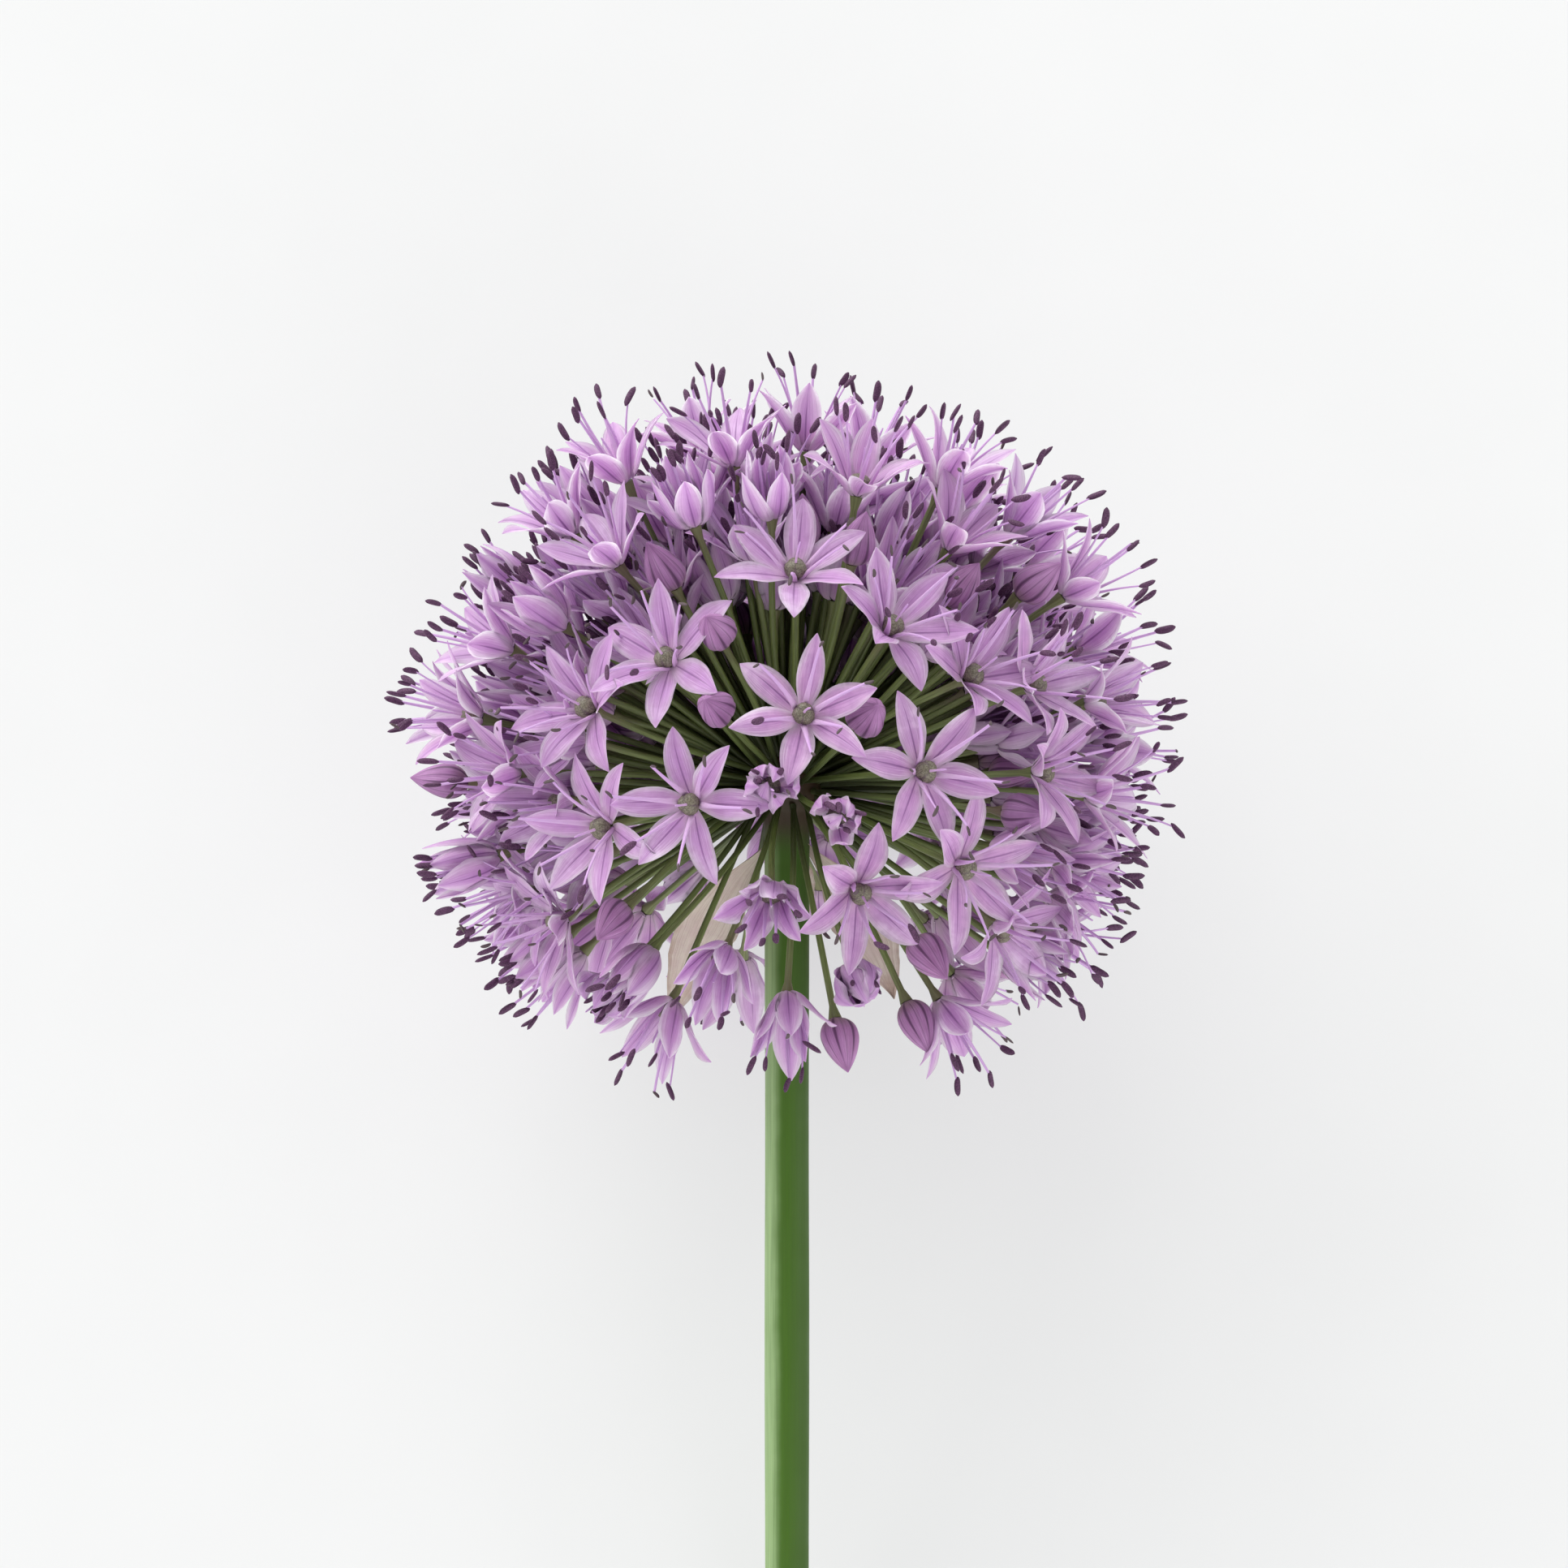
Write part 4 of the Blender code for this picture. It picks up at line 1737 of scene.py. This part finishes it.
@dataclass(frozen=True)
class SpatheValve:
    """One papery bract, crinkled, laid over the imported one."""

    node: str
    head: HeadFrame
    rows: int = 26
    section: BladeSection = BladeSection(15)
    slices: int = 8
    slice_overlap: float = 0.4 * MM
    thickness: float = 0.12 * MM
    crinkle: float = 0.45 * MM
    cup: float = 0.16
    base_share: float = 0.4
    widest: float = 0.42
    least_width: float = 0.05 * MM
    twist: float = math.radians(55)
    foot_bend: float = 0.16
    foot_depth: float = 0.8
    first_seed: int = 900

    def outline(self) -> tuple[Array, float, Array]:
        """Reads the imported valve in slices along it.

        Returns:
            The middle of each slice, the greatest half width and the sideways direction.
        """
        points, _ = welded(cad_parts[self.node])
        along = (points - self.head.receptacle) @ -self.head.crown
        outward = points.mean(axis=0) - self.head.receptacle
        outward = unit(outward - self.head.crown * (outward @ self.head.crown))
        sideways = np.cross(self.head.crown, outward)
        levels = np.linspace(along.min(), along.max(), self.slices + 1)
        lows, highs = levels[:-1] - self.slice_overlap, levels[1:] + self.slice_overlap
        slices = [points[(along >= low) & (along <= high)] for low, high in zip(lows, highs)]
        middle = [near.mean(axis=0) for near in slices]
        reach = [np.abs((near - centre) @ sideways).max() for near, centre in zip(slices, middle)]
        return np.array(middle), float(max(reach)), sideways

    def foot(self, start: Array) -> Array:
        """Finds where the valve leaves the stem.

        Args:
            start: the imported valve's lower end.

        Returns:
            The point just inside the stem that is nearest to it.
        """
        from_head = start - self.head.receptacle
        on_axis = self.head.crown * (from_head @ self.head.crown)
        across = unit(from_head - on_axis)
        return self.head.receptacle + on_axis + across * self.foot_depth * self.head.stem_radius

    def line(self, middle: Array) -> Array:
        """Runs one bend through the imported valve, with its foot in the stem.

        Args:
            middle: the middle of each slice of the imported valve.

        Returns:
            The points of the middle line.
        """
        s = np.linspace(0, 1, self.rows)
        knots = np.linspace(0, 1, len(middle))
        bends = [np.polyfit(knots, middle[:, i], 2) for i in range(3)]
        line = np.stack([np.polyval(bend, s) for bend in bends], axis=1)
        from_foot = np.exp(-((s / self.foot_bend) ** 2))
        return line + (self.foot(line[0]) - line[0]) * from_foot[:, None]

    def half_widths(self, greatest: float) -> Array:
        """Works out the valve's outline: narrow at its foot, frayed towards its tip.

        Args:
            greatest: half its width where it is widest.

        Returns:
            Half the width at each ring.
        """
        s = np.linspace(0, 1, self.rows)
        rising = self.base_share + (1 - self.base_share) * smooth_step(s / self.widest)
        falling = 1 - np.clip((s - self.widest) / (1 - self.widest), 0, 1) ** 1.7
        fraying = 1 + 0.04 * np.sin(31 * s) * s + 0.02 * np.sin(57 * s)
        return (greatest * rising * falling + self.least_width) * fraying

    def rise(self, half: Array, rng: np.random.Generator) -> Array:
        """Works out how far each ring point stands off the valve's middle line.

        Args:
            half: half the valve's width at each ring.
            rng: the valve's own random numbers.

        Returns:
            The heights: its crinkles, its cup and its thickness.
        """
        s = np.linspace(0, 1, self.rows)[:, None]
        t = self.section.places()
        first, second = rng.uniform(0, TURN, 2)
        ripple = np.sin(9 * t + 7 * s + first) + 0.6 * np.sin(17 * t - 5 * s + second)
        crinkles = self.crinkle * ripple * np.abs(t) * np.sqrt(s) * 0.5
        return crinkles + self.cup * half[:, None] * t**2 + self.thickness / 2 * self.section.skin()

    def build(self, number: int, wardrobe: Wardrobe) -> None:
        """Makes the valve's piece.

        Args:
            number: its number, which also seeds its crinkles.
            wardrobe: the plant's finishes.
        """
        middle, greatest, sideways = self.outline()
        face = np.cross(sideways, unit(middle[-1] - middle[0]))
        half = self.half_widths(greatest)
        rise = self.rise(half, np.random.default_rng(self.first_seed + number))
        hand = -1 if sideways @ self.head.upper > 0 else 1
        untwisted = np.clip(np.linspace(0, 1.6, self.rows), 0, 1)
        twist = hand * self.twist * np.sin(math.pi / 2 * untwisted)
        side, rise = turned(self.section.places() * half[:, None], rise, twist[:, None])
        rings = self.line(middle)[:, None, :] + sideways * side[..., None] + face * rise[..., None]
        store = MeshStore()
        store.add_loft(rings, across=self.section.strip())
        register(store.build(f"spathe_bract_{number}"), self.node, [wardrobe.spathe])


@dataclass(frozen=True)
class Studio:
    """Pale surface, soft light and a camera that looks down on the laid flower."""

    head: HeadFrame
    view_width: float = 199.8 * MM
    sensor: float = 36.0
    lens: float = 150.0
    aim_right: float = -0.4 * MM
    aim_crown: float = 0.4 * MM
    walls_to_ceiling: tuple[float, float, float, float] = (0.3, 1.0, 1.5, 0.26)

    def build(self) -> None:
        """Makes the surface, the lights, the world and the camera."""
        self.floor()
        self.light("key", (-1.95, 1.25, 1.15), 1.9, 25.0, (1.0, 0.985, 0.965))
        self.light("fill", (0.8, -1.75, 1.2), 1.6, 12.0, (1.0, 0.99, 0.985))
        self.light("crown", (-0.6, 2.1, 0.95), 1.6, 30.0, (1.0, 0.99, 0.98))
        self.world()
        self.camera()
        bpy.context.scene.view_settings.view_transform = "Standard"

    def floor(self) -> None:
        """Makes the surface that the flower lies on."""
        mesh = bpy.data.meshes.new("studio_floor")
        sheet = bmesh.new()
        bmesh.ops.create_grid(sheet, x_segments=4, y_segments=4, size=2.5)
        sheet.to_mesh(mesh)
        sheet.free()
        floor = bpy.data.objects.new("studio_floor", mesh)
        bpy.context.scene.collection.objects.link(floor)
        mesh.materials.append(FloorFinish().make())

    def light(
        self, name: str, place: tuple[float, float, float], size: float, power: float, colour: Colour
    ) -> None:
        """Adds a square soft light that looks at the head.

        Args:
            name: the light's name.
            place: where it is, in metres.
            size: the length of its side.
            power: its power in watts.
            colour: its colour.
        """
        data = bpy.data.lights.new(name, "AREA")
        data.size, data.energy, data.color = size, power, colour
        lamp = bpy.data.objects.new(name, data)
        lamp.location = place
        aim = Vector(self.head.receptacle) - Vector(place)
        lamp.rotation_euler = aim.to_track_quat("-Z", "Y").to_euler()
        bpy.context.scene.collection.objects.link(lamp)

    def world(self) -> None:
        """Fills the room with pale light from its walls, and less of it from its ceiling."""
        world = bpy.data.worlds.new("studio")
        world.use_nodes = True
        tree = world.node_tree
        background = tree.nodes["Background"]
        background.inputs["Color"].default_value = (0.985, 0.99, 0.99, 1)
        way, split, level = (
            tree.nodes.new("ShaderNode" + kind) for kind in ("TexCoord", "SeparateXYZ", "MapRange")
        )
        tree.links.new(way.outputs["Generated"], split.inputs[0])
        tree.links.new(split.outputs[2], level.inputs["Value"])
        settings = zip(("From Min", "From Max", "To Min", "To Max"), self.walls_to_ceiling)
        for name, value in settings:
            level.inputs[name].default_value = value
        tree.links.new(level.outputs["Result"], background.inputs["Strength"])
        bpy.context.scene.world = world

    def camera(self) -> None:
        """Looks square onto the stem's axis, with the crown at the top of the picture."""
        head = self.head
        data = bpy.data.cameras.new("camera")
        data.lens, data.sensor_width = self.lens, self.sensor
        distance = self.view_width * self.lens / self.sensor
        camera = bpy.data.objects.new("camera", data)
        turn = Matrix([head.right, head.crown, head.upper]).transposed()
        target = head.receptacle + head.right * self.aim_right + head.crown * self.aim_crown
        camera.matrix_world = Matrix.Translation(target + head.upper * distance) @ turn.to_4x4()
        bpy.context.scene.collection.objects.link(camera)
        bpy.context.scene.camera = camera


def numbered(kind: str) -> list[tuple[int, str]]:
    """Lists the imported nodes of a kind, each with the number that its name ends in."""
    names = sorted(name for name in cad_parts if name.startswith(kind))
    return [(int(name.rsplit("_", 1)[-1]), name) for name in names]


def planted(head: HeadFrame) -> list[Tuft]:
    """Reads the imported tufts, and gives each further floret to the tuft that is nearest.

    Args:
        head: the laid flower's axes and sizes.

    Returns:
        The tufts, ready to grow.
    """
    reader = SiteReader(head)
    tufts = []
    for number, name in numbered("floret_tuft"):
        tufts.append(Tuft(number, name, reader.read(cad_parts[name], 10 * number), head))
    packed = [site for tuft in tufts for site in tuft.sites]
    further = Infill(head).sites(packed)
    further += Infill.deeper(head).sites(packed + further)
    for site in further:
        nearest = max(tufts, key=lambda tuft: tuft.nearness(site.direction))
        nearest.sites.append(site)
    LOG.info("%d florets read and %d added", len(packed), len(further))
    return tufts


def main() -> None:
    """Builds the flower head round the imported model."""
    logging.basicConfig(level=logging.INFO, format="%(name)s: %(message)s")
    head = HeadFrame.from_scape(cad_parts["scape"])
    LOG.info("stem %.1f mm thick, %.1f mm long", 2 * head.stem_radius / MM, head.stem_length / MM)
    wardrobe = Wardrobe.make()
    Studio(head).build()
    Scape(head).build(wardrobe)
    for tuft in planted(head):
        tuft.grow()
        tuft.dress(wardrobe)
    for number, name in numbered("spathe_valve"):
        SpatheValve(name, head).build(number, wardrobe)


if __name__ == "__main__":
    main()
